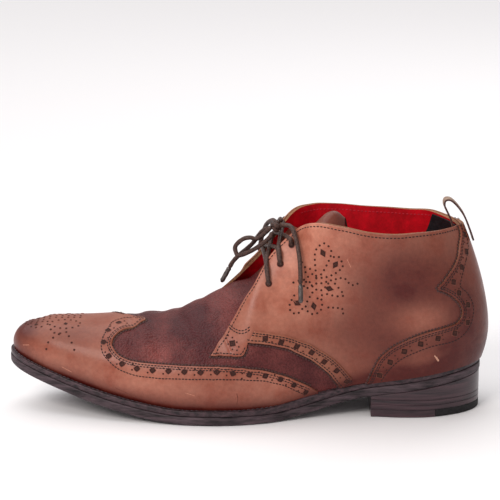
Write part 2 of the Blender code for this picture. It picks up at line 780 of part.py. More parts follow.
def tube(path, radius, sides=6):
    # Closed tube along the path, which turns little, with flat ends
    path = np.array(path)
    run = np.gradient(path, axis=0)
    run /= np.linalg.norm(run, axis=1)[:, None]
    first = np.cross(run, [1.0, 0.3, 0.1])
    first /= np.linalg.norm(first, axis=1)[:, None]
    second = np.cross(run, first)
    sheet = bmesh.new()
    rings = []
    for p, a, b in zip(path, first, second):
        turn = [2 * math.pi * n / sides for n in range(sides)]
        rings.append([sheet.verts.new(p + radius * (math.cos(t) * a + math.sin(t) * b)) for t in turn])
    for low, high in zip(rings, rings[1:]):
        for n in range(sides):
            m = (n + 1) % sides
            sheet.faces.new((low[n], low[m], high[m], high[n]))
    sheet.faces.new(rings[0])
    sheet.faces.new(rings[-1])
    bmesh.ops.recalc_face_normals(sheet, faces=sheet.faces[:])
    return sheet


def lace_bar(outer, inner):
    lift = FIRST_HIGH + LACE_RADIUS + GAP
    a, b = EYELETS[-1][outer], EYELETS[1][inner]
    start = over_facing(-1, *a, lift)
    end = over_facing(1, *b, lift)
    near = over_facing(-1, a[0], 0.99, lift + 0.0006)
    far = over_facing(1, b[0], 0.99, lift + 0.0006)
    middle = 0.5 * (near + far) + [0.0, 0.0, 0.0012]
    rows = np.array([2 * start - near, start, near, middle, far, end, 2 * end - far])
    return smooth_rows(rows, np.linspace(-0.08, 4.08, 8))


def make_lace_crossings(finish):
    joined = None
    for outer, inner in ((0, 0), (0, 1), (1, 0), (1, 2), (2, 1)):
        bar = add_mesh("lace_bar", tube(lace_bar(outer, inner), LACE_RADIUS, 5), finish)
        if joined is None:
            joined = bar
            joined.name = "lace_crossings"
            continue
        union(joined, bar)
    return joined


def union(kept, other):
    step = kept.modifiers.new("join", "BOOLEAN")
    step.operation = "UNION"
    step.solver = "EXACT"
    step.object = other
    bpy.context.view_layer.update()
    graph = bpy.context.evaluated_depsgraph_get()
    result = bpy.data.meshes.new_from_object(kept.evaluated_get(graph))
    kept.modifiers.clear()
    kept.data = result
    bpy.data.objects.remove(other, do_unlink=True)


KNOT = (0.0200, -0.0072, 0.1248)
KNOT_RADIUS = 0.0042
# Free lace: points in metres from the knot outwards
LACE_ROUTES = {
    "lace_end_outer": (
        (0.0250, -0.0088, 0.1266),
        (0.0295, -0.0145, 0.1265),
        (0.0332, -0.0220, 0.1220),
        (0.0352, -0.0285, 0.1130),
        (0.0360, -0.0330, 0.1030),
        (0.0358, -0.0362, 0.0925),
    ),
    "lace_end_inner": (
        (0.0150, -0.0040, 0.1222),
        (0.0105, 0.0020, 0.1180),
        (0.0043, 0.0080, 0.1087),
        (-0.0039, 0.0095, 0.1008),
        (-0.0104, 0.0105, 0.0916),
    ),
    "lace_loop_front": (
        (0.0170, -0.0082, 0.1210),
        (0.0115, -0.0065, 0.1160),
        (0.0060, -0.0020, 0.1152),
        (0.0010, 0.0000, 0.1148),
        (-0.0035, 0.0005, 0.1125),
        (-0.0066, 0.0000, 0.1085),
        (-0.0062, -0.0015, 0.1046),
        (-0.0030, -0.0035, 0.1030),
        (0.0025, -0.0062, 0.1052),
        (0.0085, -0.0090, 0.1095),
        (0.0140, -0.0118, 0.1140),
        (0.0185, -0.0130, 0.1168),
        (0.0202, -0.0106, 0.1212),
    ),
    "lace_loop_back": (
        (0.0212, -0.0016, 0.1275),
        (0.0200, 0.0080, 0.1320),
        (0.0150, 0.0210, 0.1290),
        (0.0090, 0.0300, 0.1180),
        (0.0080, 0.0345, 0.1060),
        (0.0135, 0.0345, 0.1060),
        (0.0180, 0.0270, 0.1240),
        (0.0215, 0.0140, 0.1330),
        (0.0240, 0.0030, 0.1310),
        (0.0238, -0.0038, 0.1280),
    ),
}
AGLET_LENGTH = 0.0125


def beside_knot(point):
    away = point - np.array(KNOT)
    return np.array(KNOT) + away / np.linalg.norm(away) * (KNOT_RADIUS + 2.6 * GAP)


def cord(name, route, finish):
    points = np.array(route)
    for end in (0, -1) if "loop" in name else (0,):
        points[end] = beside_knot(points[end])
    rows = np.concatenate([2 * points[:1] - points[1:2], points, 2 * points[-1:] - points[-2:-1]])
    length = np.linalg.norm(np.diff(points, axis=0), axis=1).sum()
    count = int(length / (2.5 * 2 * LACE_RADIUS)) + 2
    read = smooth_rows(rows, np.linspace(0, len(points) - 1, count).clip(0, len(points) - 1.0001))
    curve = bpy.data.curves.new(name, "CURVE")
    curve.dimensions = "3D"
    curve.bevel_depth = LACE_RADIUS
    curve.bevel_resolution = 2
    curve.use_fill_caps = True
    line = curve.splines.new("POLY")
    line.points.add(count - 1)
    for point, place in zip(line.points, read):
        point.co = (*place, 1.0)
    curve.materials.append(finish)
    made = bpy.data.objects.new(name, curve)
    bpy.context.scene.collection.objects.link(made)
    return made


def make_laces(finish, plain):
    make_lace_crossings(finish)
    ball = bmesh.new()
    bmesh.ops.create_icosphere(ball, subdivisions=2, radius=KNOT_RADIUS)
    bmesh.ops.translate(ball, vec=KNOT, verts=ball.verts[:])
    add_mesh("lace_knot", ball, finish)
    for name, route in LACE_ROUTES.items():
        cord(name, route, finish)
        if "loop" in name:
            continue
        last, before = np.array(route[-1]), np.array(route[-2])
        along = (last - before) / np.linalg.norm(last - before)
        start = last + along * GAP
        sleeve = tube([start, start + along * AGLET_LENGTH], AGLET_RADIUS, 8)
        add_mesh(name.replace("lace_end", "aglet"), sleeve, plain)


def settle():
    # The origin goes to the middle of the whole part's bounding box, on the floor
    bpy.context.view_layer.update()
    graph = bpy.context.evaluated_depsgraph_get()
    low, high = np.full(3, 1e9), np.full(3, -1e9)
    for made in bpy.context.scene.objects:
        if made.name in FREE_CORD:
            continue
        mesh = made.evaluated_get(graph).to_mesh()
        points = np.array([made.matrix_world @ v.co for v in mesh.vertices])
        low, high = np.minimum(low, points.min(0)), np.maximum(high, points.max(0))
    shift = np.array([(low[0] + high[0]) / 2, (low[1] + high[1]) / 2, low[2]])
    for made in bpy.context.scene.objects:
        made.location -= type(made.location)(shift)


FREE_CORD = tuple(LACE_ROUTES) + ("aglet_outer", "aglet_inner")


def main():
    clear_scene()
    tan = material("tan_calf", (0.42, 0.17, 0.10), 0.38)
    band = material("tan_band_calf", (0.50, 0.22, 0.12), 0.42)
    grain = material("oxblood_grain_leather", (0.12, 0.04, 0.04), 0.48)
    red = material("red_lining", (0.43, 0.0, 0.01), 0.7)
    black = material("black_lining", (0.01, 0.01, 0.012), 0.6)
    edge = material("dark_sole_leather", (0.04, 0.03, 0.03), 0.5)
    stack = material("stacked_heel_leather", (0.07, 0.03, 0.03), 0.4)
    rubber = material("black_rubber", (0.012, 0.012, 0.012), 0.7)
    lace = material("waxed_lace", (0.04, 0.03, 0.03), 0.6)
    make_upper(grain)
    make_wing_cap(tan)
    make_quarter("quarter_lateral", -1, tan)
    make_quarter("quarter_medial", 1, tan)
    make_strip("brogue_strip_lateral", -1, band)
    make_strip("brogue_strip_medial", 1, band)
    make_counter(tan)
    make_lining_patch(black)
    make_tongue(grain)
    make_sole(edge, black)
    make_insole(red)
    make_heel(stack, rubber)
    make_pull_loop(tan)
    make_laces(lace, lace)
    settle()


main()
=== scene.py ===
import math

import bmesh
import bpy
import numpy as np
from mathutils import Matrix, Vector


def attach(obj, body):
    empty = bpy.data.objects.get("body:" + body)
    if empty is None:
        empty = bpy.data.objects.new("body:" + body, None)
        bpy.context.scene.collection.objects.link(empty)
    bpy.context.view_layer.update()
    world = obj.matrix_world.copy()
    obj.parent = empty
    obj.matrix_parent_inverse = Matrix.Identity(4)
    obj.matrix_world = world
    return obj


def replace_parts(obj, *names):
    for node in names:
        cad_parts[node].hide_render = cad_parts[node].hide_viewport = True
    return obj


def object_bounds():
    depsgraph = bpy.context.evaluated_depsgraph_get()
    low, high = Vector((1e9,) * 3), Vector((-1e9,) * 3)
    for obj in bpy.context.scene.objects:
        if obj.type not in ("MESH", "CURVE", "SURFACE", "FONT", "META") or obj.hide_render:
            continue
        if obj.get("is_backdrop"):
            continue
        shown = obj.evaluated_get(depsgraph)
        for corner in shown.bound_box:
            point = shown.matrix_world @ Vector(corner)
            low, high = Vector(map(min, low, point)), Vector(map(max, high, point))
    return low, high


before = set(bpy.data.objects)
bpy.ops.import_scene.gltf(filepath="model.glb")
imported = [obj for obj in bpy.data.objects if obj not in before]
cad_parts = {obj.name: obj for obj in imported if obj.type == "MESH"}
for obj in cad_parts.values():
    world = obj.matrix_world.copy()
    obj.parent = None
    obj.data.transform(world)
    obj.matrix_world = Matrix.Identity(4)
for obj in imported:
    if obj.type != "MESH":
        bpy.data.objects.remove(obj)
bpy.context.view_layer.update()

# Wingtip ankle shoe, left, worn. Metres, toe at -X, outer side towards the camera at -Y.
# A place on the upper is (side, station, height): station 0 at the back seam to 23 at the toe
# tip, height 0 at the welt to 1 at the ridge, facing or collar. Side -1 is the outer one.

shoe = dict(
    soleLength=0.317, ballWidth=0.106, collarRise=0.100, toeSpring=0.030, heelRise=0.0142,
    seatSlope=0.157, soleThick=0.0058, weltThick=0.0035, waistThick=0.0020, gap=0.0003,
    wall=0.0018, middle=(0.00238, 0.00256, 0.0), apex=12, tip=23,
)
middle = np.array(shoe["middle"])

# x, outer, inner, bulge, bulge height, exponents: hundredths of length, width and own rise
sections = np.array((
    (49.3, 0.0, 0.0, 3.4, 23, 1.60, 1.00), (48.5, 9.6, 9.6, 3.2, 23, 1.60, 1.00),
    (46.1, 17.8, 18.3, 2.8, 24, 1.60, 1.00), (42.6, 24.2, 24.7, 2.5, 26, 1.70, 1.00),
    (38.2, 28.3, 28.5, 2.1, 27, 1.80, 1.00), (32.8, 29.2, 28.8, 2.3, 27, 1.80, 1.00),
    (27.1, 27.8, 26.9, 2.8, 26, 1.80, 1.00), (21.5, 27.2, 25.0, 3.2, 24, 1.80, 1.00),
    (15.8, 29.2, 26.0, 3.2, 22, 1.70, 1.05), (10.4, 33.0, 29.7, 3.0, 20, 1.70, 1.10),
    (5.0, 37.7, 35.4, 2.8, 19, 1.60, 1.20), (-0.3, 41.3, 41.0, 2.8, 19, 1.60, 1.35),
    (-5.7, 42.5, 44.8, 3.0, 20, 1.70, 1.60), (-11.0, 41.7, 47.2, 3.2, 22, 1.80, 1.80),
    (-16.4, 39.2, 47.0, 3.2, 24, 1.90, 1.90), (-21.8, 35.7, 43.7, 3.0, 25, 2.00, 2.10),
    (-27.1, 31.7, 38.7, 2.8, 27, 2.10, 2.20), (-32.2, 27.0, 33.5, 2.6, 30, 2.20, 2.30),
    (-36.9, 22.1, 28.5, 2.5, 32, 2.20, 2.40), (-41.0, 17.4, 24.2, 2.3, 34, 2.30, 2.50),
    (-44.5, 12.6, 19.6, 1.8, 36, 2.20, 2.20), (-47.0, 7.5, 14.3, 1.2, 36, 2.00, 1.90),
    (-48.3, 2.1, 9.1, 0.7, 35, 1.80, 1.70), (-48.7, -2.8, 2.8, 0.5, 35, 1.80, 1.70),
))
# Collar and facings: outer x, y, rise, inner x, y, rise
edges = np.array((
    (44.7, 0.0, 89.0, 44.7, 0.0, 89.0), (43.9, 6.1, 89.7, 44.0, 8.0, 90.1),
    (42.1, 13.7, 91.2, 42.1, 17.0, 92.5), (39.1, 22.2, 93.2, 39.1, 26.4, 95.4),
    (35.0, 28.1, 95.5, 35.0, 30.2, 97.3), (30.3, 30.9, 97.8, 30.3, 32.1, 100.7),
    (24.9, 30.7, 102.0, 24.6, 31.6, 104.7), (19.6, 28.5, 108.5, 18.9, 29.7, 109.9),
    (14.5, 22.2, 113.0, 14.2, 25.5, 114.2), (10.7, 13.5, 109.6, 9.6, 16.2, 114.3),
    (5.4, 15.8, 96.1, 4.3, 14.0, 95.3), (0.0, 24.5, 70.5, -0.3, 17.6, 79.6),
))
# Ridge over instep and toe, stations 11 to 23: x, y, rise
ridge = np.array((
    (0.0, 3.8, 76.6), (-5.0, 3.8, 69.1), (-10.7, 3.8, 60.1), (-16.4, 3.8, 51.8),
    (-21.8, 3.8, 47.3), (-27.1, 3.8, 41.7), (-32.2, 3.8, 36.7), (-36.9, 3.8, 32.3),
    (-41.0, 3.8, 27.8), (-43.7, 3.8, 22.0), (-45.2, 3.8, 18.5), (-46.1, 3.4, 15.9),
    (-46.5, 2.8, 14.6),
))
# Outline of the sole: x, outer, inner
soleEdge = np.array((
    (49.8, 0.0, 0.0), (49.1, 9.0, 9.0), (47.0, 17.5, 17.7), (43.5, 24.7, 25.1),
    (38.5, 30.2, 30.6), (32.8, 31.1, 30.6), (27.1, 29.2, 28.5), (21.5, 29.1, 27.2),
    (15.8, 31.7, 28.7), (10.4, 35.8, 32.8), (5.0, 41.5, 38.9), (-0.3, 45.7, 45.1),
    (-5.7, 47.4, 49.4), (-11.0, 46.6, 52.1), (-16.4, 44.2, 52.1), (-21.8, 40.8, 48.7),
    (-27.1, 37.0, 43.8), (-32.2, 32.5, 38.7), (-36.9, 27.2, 33.6), (-41.3, 22.1, 28.3),
    (-45.1, 17.4, 23.2), (-47.9, 11.7, 17.5), (-49.5, 4.5, 10.4), (-50.0, -2.4, 2.4),
))


def throughRows(rows, place):
    # Cubic through the rows; the first and the last row only steer the slope
    first = np.clip(np.floor(place).astype(int), 0, len(rows) - 4)
    part = (place - first)[:, None]
    a, b, c, d = rows[first], rows[first + 1], rows[first + 2], rows[first + 3]
    return b + 0.5 * part * (c - a + part * (2 * a - 5 * b + 4 * c - d + part * (3 * (b - c) + d - a)))


def padded(rows):
    # One more row at each end, on a straight line with the last two, to steer the slope
    return np.concatenate([2 * rows[:1] - rows[1:2], rows, 2 * rows[-1:] - rows[-2:-1]])


def curveThrough(rows, count):
    return throughRows(padded(rows), np.linspace(0, len(rows) - 1.00001, count))


def unitRows(vectors, least=0.0):
    return vectors / np.maximum(np.linalg.norm(vectors, axis=-1), least)[..., None]


def travelled(points):
    # Distance along a line of points, from its first one to each
    return np.concatenate([[0], np.cumsum(np.linalg.norm(np.diff(points, axis=0), axis=1))])


def outward(rows, place, side):
    # Unit vector square to a side's plan curve, away from the shoe
    run = throughRows(rows, place + 0.01) - throughRows(rows, place - 0.01)
    return unitRows(side * np.stack([run[:, 1], -run[:, 0]], 1))


def groundHeight(x):
    # Toe spring to a power, flat tread, waist eased into the sloped heel seat, with their
    # starts and lengths as shares of the sole's length
    long = shoe["soleLength"]
    toe = np.maximum(0.0, -0.120 * long - x) / (0.380 * long)
    reach = 0.224 * long
    part = np.clip((x - 0.038 * long) / reach, 0.0, 1.0)
    climb = shoe["heelRise"] * (3 * part**2 - 2 * part**3)
    climb = climb + (part**3 - part**2) * shoe["seatSlope"] * reach
    return shoe["toeSpring"] * toe**1.6 + climb + np.maximum(0.0, x - 0.262 * long) * shoe["seatSlope"]


def soleTop(x):
    return groundHeight(x) + shoe["soleThick"]


def weltTop(x):
    # The welt thickens over the waist, by a bell
    off = (x / shoe["soleLength"] - 0.120) / 0.070
    thick = shoe["weltThick"] + shoe["waistThick"] * np.exp(-(off**2))
    return soleTop(x) + shoe["gap"] + thick


def sideRows(table, side, lift):
    # One side's rows as x, signed y and the rest, steered at both ends by the other side's
    own, other = (1, 2) if side < 0 else (2, 1)
    length, width = 0.01 * shoe["soleLength"], 0.01 * shoe["ballWidth"]
    rest = table[:, 3:] * lift

    def rows(column, sign):
        return np.column_stack([table[:, 0] * length, sign * table[:, column] * width, rest])

    return np.concatenate([rows(other, -side)[1:2], rows(own, side), rows(other, -side)[-2:-1]])


def lastGrid(side, stations, heights):
    # Outer face of the upper. Each section climbs from the welt along a parabola to its bulge,
    # then along a superellipse to its top, and height is the share of the section's length.
    rows = sideRows(sections, side, np.array([0.01 * shoe["ballWidth"], 0.01, 1.0, 1.0]))
    here = throughRows(rows, stations)
    out = outward(rows, stations, side)
    unit = np.array([0.01 * shoe["soleLength"], 0.01 * shoe["ballWidth"], 0.01 * shoe["collarRise"]])
    crest = ridge * unit
    crest = np.concatenate([2 * crest[:1] - crest[1:2], crest, crest[-2:-1]])
    own, other = (edges[:, :3], edges[:, 3:]) if side < 0 else (edges[:, 3:], edges[:, :3])
    rim = np.concatenate([other[1:2] * unit * [1, -side, 1], own * unit * [1, side, 1], crest[2:3]])
    rim = np.concatenate([rim, 2 * rim[-1:] - rim[-2:-1]])
    onRidge = throughRows(crest, np.maximum(stations - shoe["apex"] + 1, 0.0))
    onRim = throughRows(rim, np.minimum(stations, shoe["apex"]))
    top = np.where((stations >= shoe["apex"])[:, None], onRidge, onRim)
    foot = np.column_stack([here[:, :2], weltTop(here[:, 0]) + shoe["gap"]])
    top[:, 2] += foot[:, 2]
    bulge, bulgeHeight, upward, sideways = (here[:, i : i + 1] for i in range(2, 6))
    lowSteps, highSteps = 24, 130
    low = np.linspace(0.0, 1.0, lowSteps)[None, :]
    turn = np.linspace(0.0, math.pi / 2, highSteps)[None, 1:]
    rise = top[:, 2:] - foot[:, 2:]
    lowOut = bulge * (1 - (1 - low) ** 2)
    lowPlan = foot[:, None, :2] + out[:, None, :] * lowOut[:, :, None]
    wide = foot[:, :2] + out * bulge
    share = np.cos(turn) ** (2 / sideways)
    climb = np.sin(turn) ** (2 / upward)
    highPlan = top[:, None, :2] + (wide - top[:, :2])[:, None, :] * share[:, :, None]
    highZ = foot[:, 2:] + rise * (bulgeHeight + (1 - bulgeHeight) * climb)
    lowZ = foot[:, 2:] + rise * bulgeHeight * low
    plan = np.concatenate([lowPlan, highPlan], 1)
    path = np.concatenate([plan, np.concatenate([lowZ, highZ], 1)[:, :, None]], 2)
    along = np.cumsum(np.linalg.norm(np.diff(path, axis=1), axis=2), 1)
    along = np.concatenate([np.zeros((len(path), 1)), along], 1)
    along /= np.maximum(along[:, -1:], 1e-9)
    last = np.clip((along[:, :, None] < heights[None, None, :]).sum(1), 1, path.shape[1] - 1)
    row = np.arange(len(path))[:, None]
    start, end = along[row, last - 1], along[row, last]
    part = ((heights[None, :] - start) / np.maximum(end - start, 1e-9))[:, :, None]
    return path[row, last - 1] * (1 - part) + path[row, last] * part


fineStations = np.linspace(0.0, shoe["tip"], 461)
fineHeights = np.linspace(0.0, 1.0, 181)
lastPoints = {side: lastGrid(side, fineStations, fineHeights) for side in (-1, 1)}
lastNormals = {}
for side, grid in lastPoints.items():
    cross = side * np.cross(np.gradient(grid, axis=0), np.gradient(grid, axis=1))
    cross[-1] = cross[-2]
    lastNormals[side] = unitRows(cross, 1e-12)
# Both sides share their normals at the toe tip and on the ridge, and the back seam faces
# straight back
onCrest = fineStations >= shoe["apex"]
lastNormals[-1][-1] = lastNormals[1][-1] = unitRows(lastNormals[-1][-1] + lastNormals[1][-1])
crestRow = unitRows(lastNormals[-1][onCrest, -1] + lastNormals[1][onCrest, -1])
lastNormals[-1][onCrest, -1] = lastNormals[1][onCrest, -1] = crestRow
for normals in lastNormals.values():
    normals[0, :, 1] = 0.0
    normals[0] = unitRows(normals[0])
print("stage: last surface")

# Creases from walking: side (0 over the ridge), station and height of both ends, half width
# and depth in mm
creases = (
    (-1, 15.40, 1.0, 15.30, 0.50, 4.0, 1.1), (-1, 14.60, 0.98, 14.25, 0.52, 4.0, 1.1),
    (-1, 13.75, 1.0, 13.15, 0.60, 3.6, 1.2), (-1, 12.98, 0.50, 12.45, 0.38, 1.1, 0.5),
    (-1, 13.20, 0.47, 12.75, 0.37, 1.0, 0.4), (-1, 12.80, 0.56, 12.35, 0.44, 1.0, 0.35),
    (-1, 12.85, 1.0, 12.50, 0.68, 3.2, 1.0), (-1, 12.20, 0.90, 11.95, 0.68, 4.0, 0.5),
    (-1, 14.05, 0.80, 13.75, 0.60, 3.0, -0.5), (-1, 15.00, 0.80, 14.85, 0.50, 4.0, -0.5),
    (-1, 13.40, 0.42, 13.20, 0.38, 1.0, 0.3), (-1, 11.90, 0.60, 11.60, 0.50, 1.2, 0.3),
    (1, 15.30, 0.80, 15.10, 0.45, 5.0, 0.9), (1, 14.30, 0.90, 13.90, 0.48, 5.0, 0.9),
    (1, 13.50, 0.98, 13.00, 0.55, 5.5, 0.9), (1, 13.00, 0.60, 12.60, 0.42, 1.2, 0.5),
    (1, 12.60, 0.94, 12.30, 0.62, 4.5, 0.6), (1, 14.80, 0.72, 14.50, 0.50, 1.2, 0.4),
    (-1, 9.9, 0.62, 9.2, 0.50, 8.0, 0.9), (-1, 8.6, 0.50, 7.6, 0.42, 9.0, 0.8),
    (-1, 7.4, 0.66, 6.2, 0.60, 8.0, 0.6), (-1, 5.9, 0.50, 4.6, 0.46, 7.0, 0.6),
    (1, 9.8, 0.62, 8.9, 0.52, 8.0, 0.9), (1, 7.6, 0.60, 6.2, 0.52, 9.0, 0.8),
    (0, 15.35, 1.05, 15.3, 0.82, 3.5, 0.8), (0, 13.75, 1.05, 13.6, 0.82, 3.0, 0.8),
    (0, 12.85, 1.05, 12.7, 0.82, 3.0, 0.6),
)


def creased(side, station, height):
    # Sum of soft troughs: each is a bell across the distance from its line, in the shoe's own mm
    stationLength, sideLength = 17.0, 78.0
    u, v = stationLength * station, sideLength * height
    total = np.zeros(station.shape)
    for which, k0, h0, k1, h1, wide, deep in creases:
        offU, offV = u - stationLength * k0, v - sideLength * h0
        du, dv = stationLength * (k1 - k0), sideLength * (h1 - h0)
        part = np.clip((offU * du + offV * dv) / (du**2 + dv**2), -0.15, 1.15)
        off = (offU - part * du) ** 2 + (offV - part * dv) ** 2
        here = deep * np.exp(-off / wide**2)
        total += np.where(side == which, here * np.clip((1 - height) * 9, 0, 1), here * (which == 0))
    return -0.001 * total


def onShoe(side, station, height, lift=0.0):
    # Point of the creased last surface, lifted along its normal, by blending the fine grid
    side, station, height, lift = np.broadcast_arrays(side, station, height, lift)
    row = np.clip(station, 0.0, shoe["tip"]) / shoe["tip"] * (len(fineStations) - 1)
    column = np.clip(height, 0.0, 1.0) * (len(fineHeights) - 1)
    i = np.minimum(row.astype(int), len(fineStations) - 2)
    j = np.minimum(column.astype(int), len(fineHeights) - 2)
    a, b = (row - i)[..., None], (column - j)[..., None]
    result = []
    for grids in (lastPoints, lastNormals):
        chosen = np.stack([grids[-1], grids[1]])
        s = (side > 0).astype(int)
        low = chosen[s, i, j] * (1 - a) + chosen[s, i + 1, j] * a
        high = chosen[s, i, j + 1] * (1 - a) + chosen[s, i + 1, j + 1] * a
        result.append(low * (1 - b) + high * b)
    points, normals = result
    normals = unitRows(normals)
    deep = lift + creased(side, station, height)
    return points + deep[..., None] * normals - middle, normals


def linear(code):
    # sRGB hex to linear light
    parts = np.array([int(code[i : i + 2], 16) for i in (1, 3, 5)]) / 255.0
    parts = np.where(parts <= 0.04045, parts / 12.92, ((parts + 0.055) / 1.055) ** 2.4)
    return (*parts.tolist(), 1.0)


def addNode(tree, kind, settings=None, links=None):
    node = tree.nodes.new(kind)
    for key, value in (settings or {}).items():
        if isinstance(key, str) and hasattr(node, key):
            setattr(node, key, value)
        else:
            node.inputs[key].default_value = value
    for key, source in (links or {}).items():
        tree.links.new(source, node.inputs[key])
    return node


def noiseNode(tree, place, scale, detail, more=None):
    given = {"Scale": scale, "Detail": detail, **(more or {})}
    return addNode(tree, "ShaderNodeTexNoise", given, {"Vector": place})


def rampNode(tree, source, stops):
    # Tones over the source: a place and a colour for each of two stops
    made = addNode(tree, "ShaderNodeValToRGB", None, {"Fac": source})
    for element, (position, colour) in zip(made.color_ramp.elements, stops):
        element.position = position
        element.color = colour
    return made.outputs["Color"]


def bumpNode(tree, source, strength, distance, under=None, invert=False):
    given = {"Strength": strength, "Distance": distance, "invert": invert}
    links = {"Height": source}
    if under is not None:
        links["Normal"] = under
    return addNode(tree, "ShaderNodeBump", given, links).outputs[0]


def multiplied(tree, base, over, share):
    given = {"data_type": "RGBA", "blend_type": "MULTIPLY", 0: share}
    return addNode(tree, "ShaderNodeMix", given, {6: base, 7: over}).outputs[2]


def clampedSum(tree, first, second):
    given = {"operation": "ADD", "use_clamp": True}
    return addNode(tree, "ShaderNodeMath", given, {0: first, 1: second}).outputs[0]


def rangeNode(tree, source, start, end, low, high):
    given = {"From Min": start, "From Max": end, "To Min": low, "To Max": high}
    return addNode(tree, "ShaderNodeMapRange", given, {"Value": source}).outputs[0]


def startMaterial(name, roughness, specular, coat=0.0, coatRoughness=0.3):
    made = bpy.data.materials.new(name)
    made.use_nodes = True
    tree = made.node_tree
    shader = tree.nodes["Principled BSDF"]
    given = {
        "Roughness": roughness, "Specular IOR Level": specular, "Coat Weight": coat,
        "Coat Roughness": coatRoughness, "IOR": 1.5,
    }
    for key, value in given.items():
        shader.inputs[key].default_value = value
    place = addNode(tree, "ShaderNodeTexCoord").outputs["Object"]
    return made, tree, shader, place


def joinShader(tree, shader, colour, normal):
    tree.links.new(colour, shader.inputs["Base Color"])
    tree.links.new(normal, shader.inputs["Normal"])


def polishedCalf(name, light, mid, dark, roughness=0.36):
    # Smooth aniline calf, hand burnished: cloudy patches 15 mm wide, pores 0.7 mm apart, fine creases
    # that break the shine, and darker where the "shade" attribute holds burnish and painted shade
    made, tree, shader, place = startMaterial(name, roughness, 0.24, 0.06, 0.22)
    cloud = noiseNode(tree, place, 60.0, 4.0, {"Roughness": 0.6}).outputs["Fac"]
    fine = noiseNode(tree, place, 420.0, 3.0).outputs["Fac"]
    shade = addNode(tree, "ShaderNodeAttribute", {"attribute_name": "shade"}).outputs["Fac"]
    tone = rampNode(tree, cloud, ((0.35, linear(mid)), (0.68, linear(light))))
    given = {"operation": "MULTIPLY_ADD", 1: 0.5, 2: -0.25}
    spread = addNode(tree, "ShaderNodeMath", given, {0: cloud}).outputs[0]
    total = clampedSum(tree, spread, shade)
    given = {"data_type": "RGBA", 7: linear(dark)}
    burntAndShaded = addNode(tree, "ShaderNodeMix", given, {6: tone, 0: total}).outputs[2]
    rough = rangeNode(tree, cloud, 0.3, 0.7, roughness - 0.08, roughness + 0.10)
    tree.links.new(rough, shader.inputs["Roughness"])
    pores = addNode(tree, "ShaderNodeTexVoronoi", {"Scale": 1000.0 / 0.7}, {"Vector": place})
    lump = noiseNode(tree, place, 150.0, 5.0, {"Distortion": 1.2}).outputs["Fac"]
    first = bumpNode(tree, pores.outputs["Distance"], 0.10, 0.0004)
    second = bumpNode(tree, lump, 0.22, 0.0010, first)
    joinShader(tree, shader, multiplied(tree, burntAndShaded, fine, 0.35), second)
    return made


def grainLeather(name, light, dark):
    # Pebbled calf: cells about 1 mm wide, drawn 1.25 mm so that they show, dull in the pits, and
    # darker where the "shade" attribute holds painted light and shade
    made, tree, shader, place = startMaterial(name, 0.46, 0.20, 0.0, 0.35)
    cloud = noiseNode(tree, place, 45.0, 4.0).outputs["Fac"]
    warp = noiseNode(tree, place, 300.0, 2.0).outputs["Color"]
    given = {"data_type": "VECTOR", 0: 0.0016}
    mixed = addNode(tree, "ShaderNodeMix", given, {4: place, 5: warp}).outputs[1]
    given = {"Scale": 1000.0 / 1.25, "feature": "SMOOTH_F1", "Smoothness": 0.35}
    cells = addNode(tree, "ShaderNodeTexVoronoi", given, {"Vector": mixed}).outputs["Distance"]
    shade = addNode(tree, "ShaderNodeAttribute", {"attribute_name": "shade"}).outputs["Fac"]
    total = clampedSum(tree, cloud, shade)
    tone = rampNode(tree, total, ((0.30, linear(light)), (0.85, linear(dark))))
    valley = rampNode(tree, cells, ((0.35, (1, 1, 1, 1)), (0.75, (0.35, 0.30, 0.30, 1))))
    lump = noiseNode(tree, place, 90.0, 5.0, {"Distortion": 1.5}).outputs["Fac"]
    first = bumpNode(tree, cells, 0.85, 0.0005, None, True)
    second = bumpNode(tree, lump, 0.30, 0.0016, first)
    joinShader(tree, shader, multiplied(tree, tone, valley, 0.45), second)
    return made


def plainFinish(name, light, dark, scale, roughness, bump, stretch=(1, 1, 1), coat=0.0, detail=4.0):
    # Two tones mixed by a noise that may be stretched along the fibres, with the same in relief
    made, tree, shader, place = startMaterial(name, roughness, 0.25, coat)
    turned = addNode(tree, "ShaderNodeMapping", {"Scale": stretch}, {"Vector": place}).outputs[0]
    grain = noiseNode(tree, turned, scale, detail, {"Roughness": 0.65}).outputs["Fac"]
    tone = rampNode(tree, grain, ((0.36, linear(dark)), (0.66, linear(light))))
    joinShader(tree, shader, tone, bumpNode(tree, grain, bump, 0.0006))
    rough = rangeNode(tree, grain, 0.0, 1.0, roughness - 0.1, roughness + 0.1)
    tree.links.new(rough, shader.inputs["Roughness"])
    return made


tanCalf = polishedCalf("burnished_tan_calf", "#D68E76", "#AC604B", "#541610")
bandCalf = polishedCalf("tan_band_calf", "#C98468", "#A25C48", "#5A241C", 0.42)
vampGrain = grainLeather("oxblood_pebble_calf", "#7E403C", "#4A1A1E")
redLining = plainFinish("red_kid_lining", "#DC001C", "#B00013", 120.0, 0.6, 0.15)
blackLining = plainFinish("black_heel_lining", "#26262A", "#17171A", 400.0, 0.6, 0.3)
cutEdge = plainFinish("raw_cut_calf_edge", "#A87856", "#7C503A", 900.0, 0.75, 0.4)
darkEdge = plainFinish("inked_pinked_edge", "#5A3A38", "#35211F", 900.0, 0.6, 0.4)
darkThread = plainFinish("waxed_linen_thread", "#3C1F1E", "#1E0F0F", 1500.0, 0.5, 0.5)
redThread = plainFinish("red_lining_thread", "#E03A4A", "#B01428", 1500.0, 0.6, 0.5)
# Painted shadow inside the punched holes, and their floor: leather darkened by painted shade
holeShadow = plainFinish("punched_hole_shadow", "#2E1512", "#160907", 600.0, 0.8, 0.5)
holeShadedFloor = plainFinish("punched_hole_shaded_floor", "#4E2A22", "#2C1612", 900.0, 0.8, 0.5)
faintScuff = plainFinish("faint_scratch", "#CC8E78", "#AC6A54", 1500.0, 0.6, 0.2)
paleScuff = plainFinish("rubbed_pale_scuff", "#D8A890", "#B8826C", 1500.0, 0.7, 0.3)
holeLip = plainFinish("burnished_hole_lip", "#7A4032", "#5A2C22", 600.0, 0.45, 0.2)
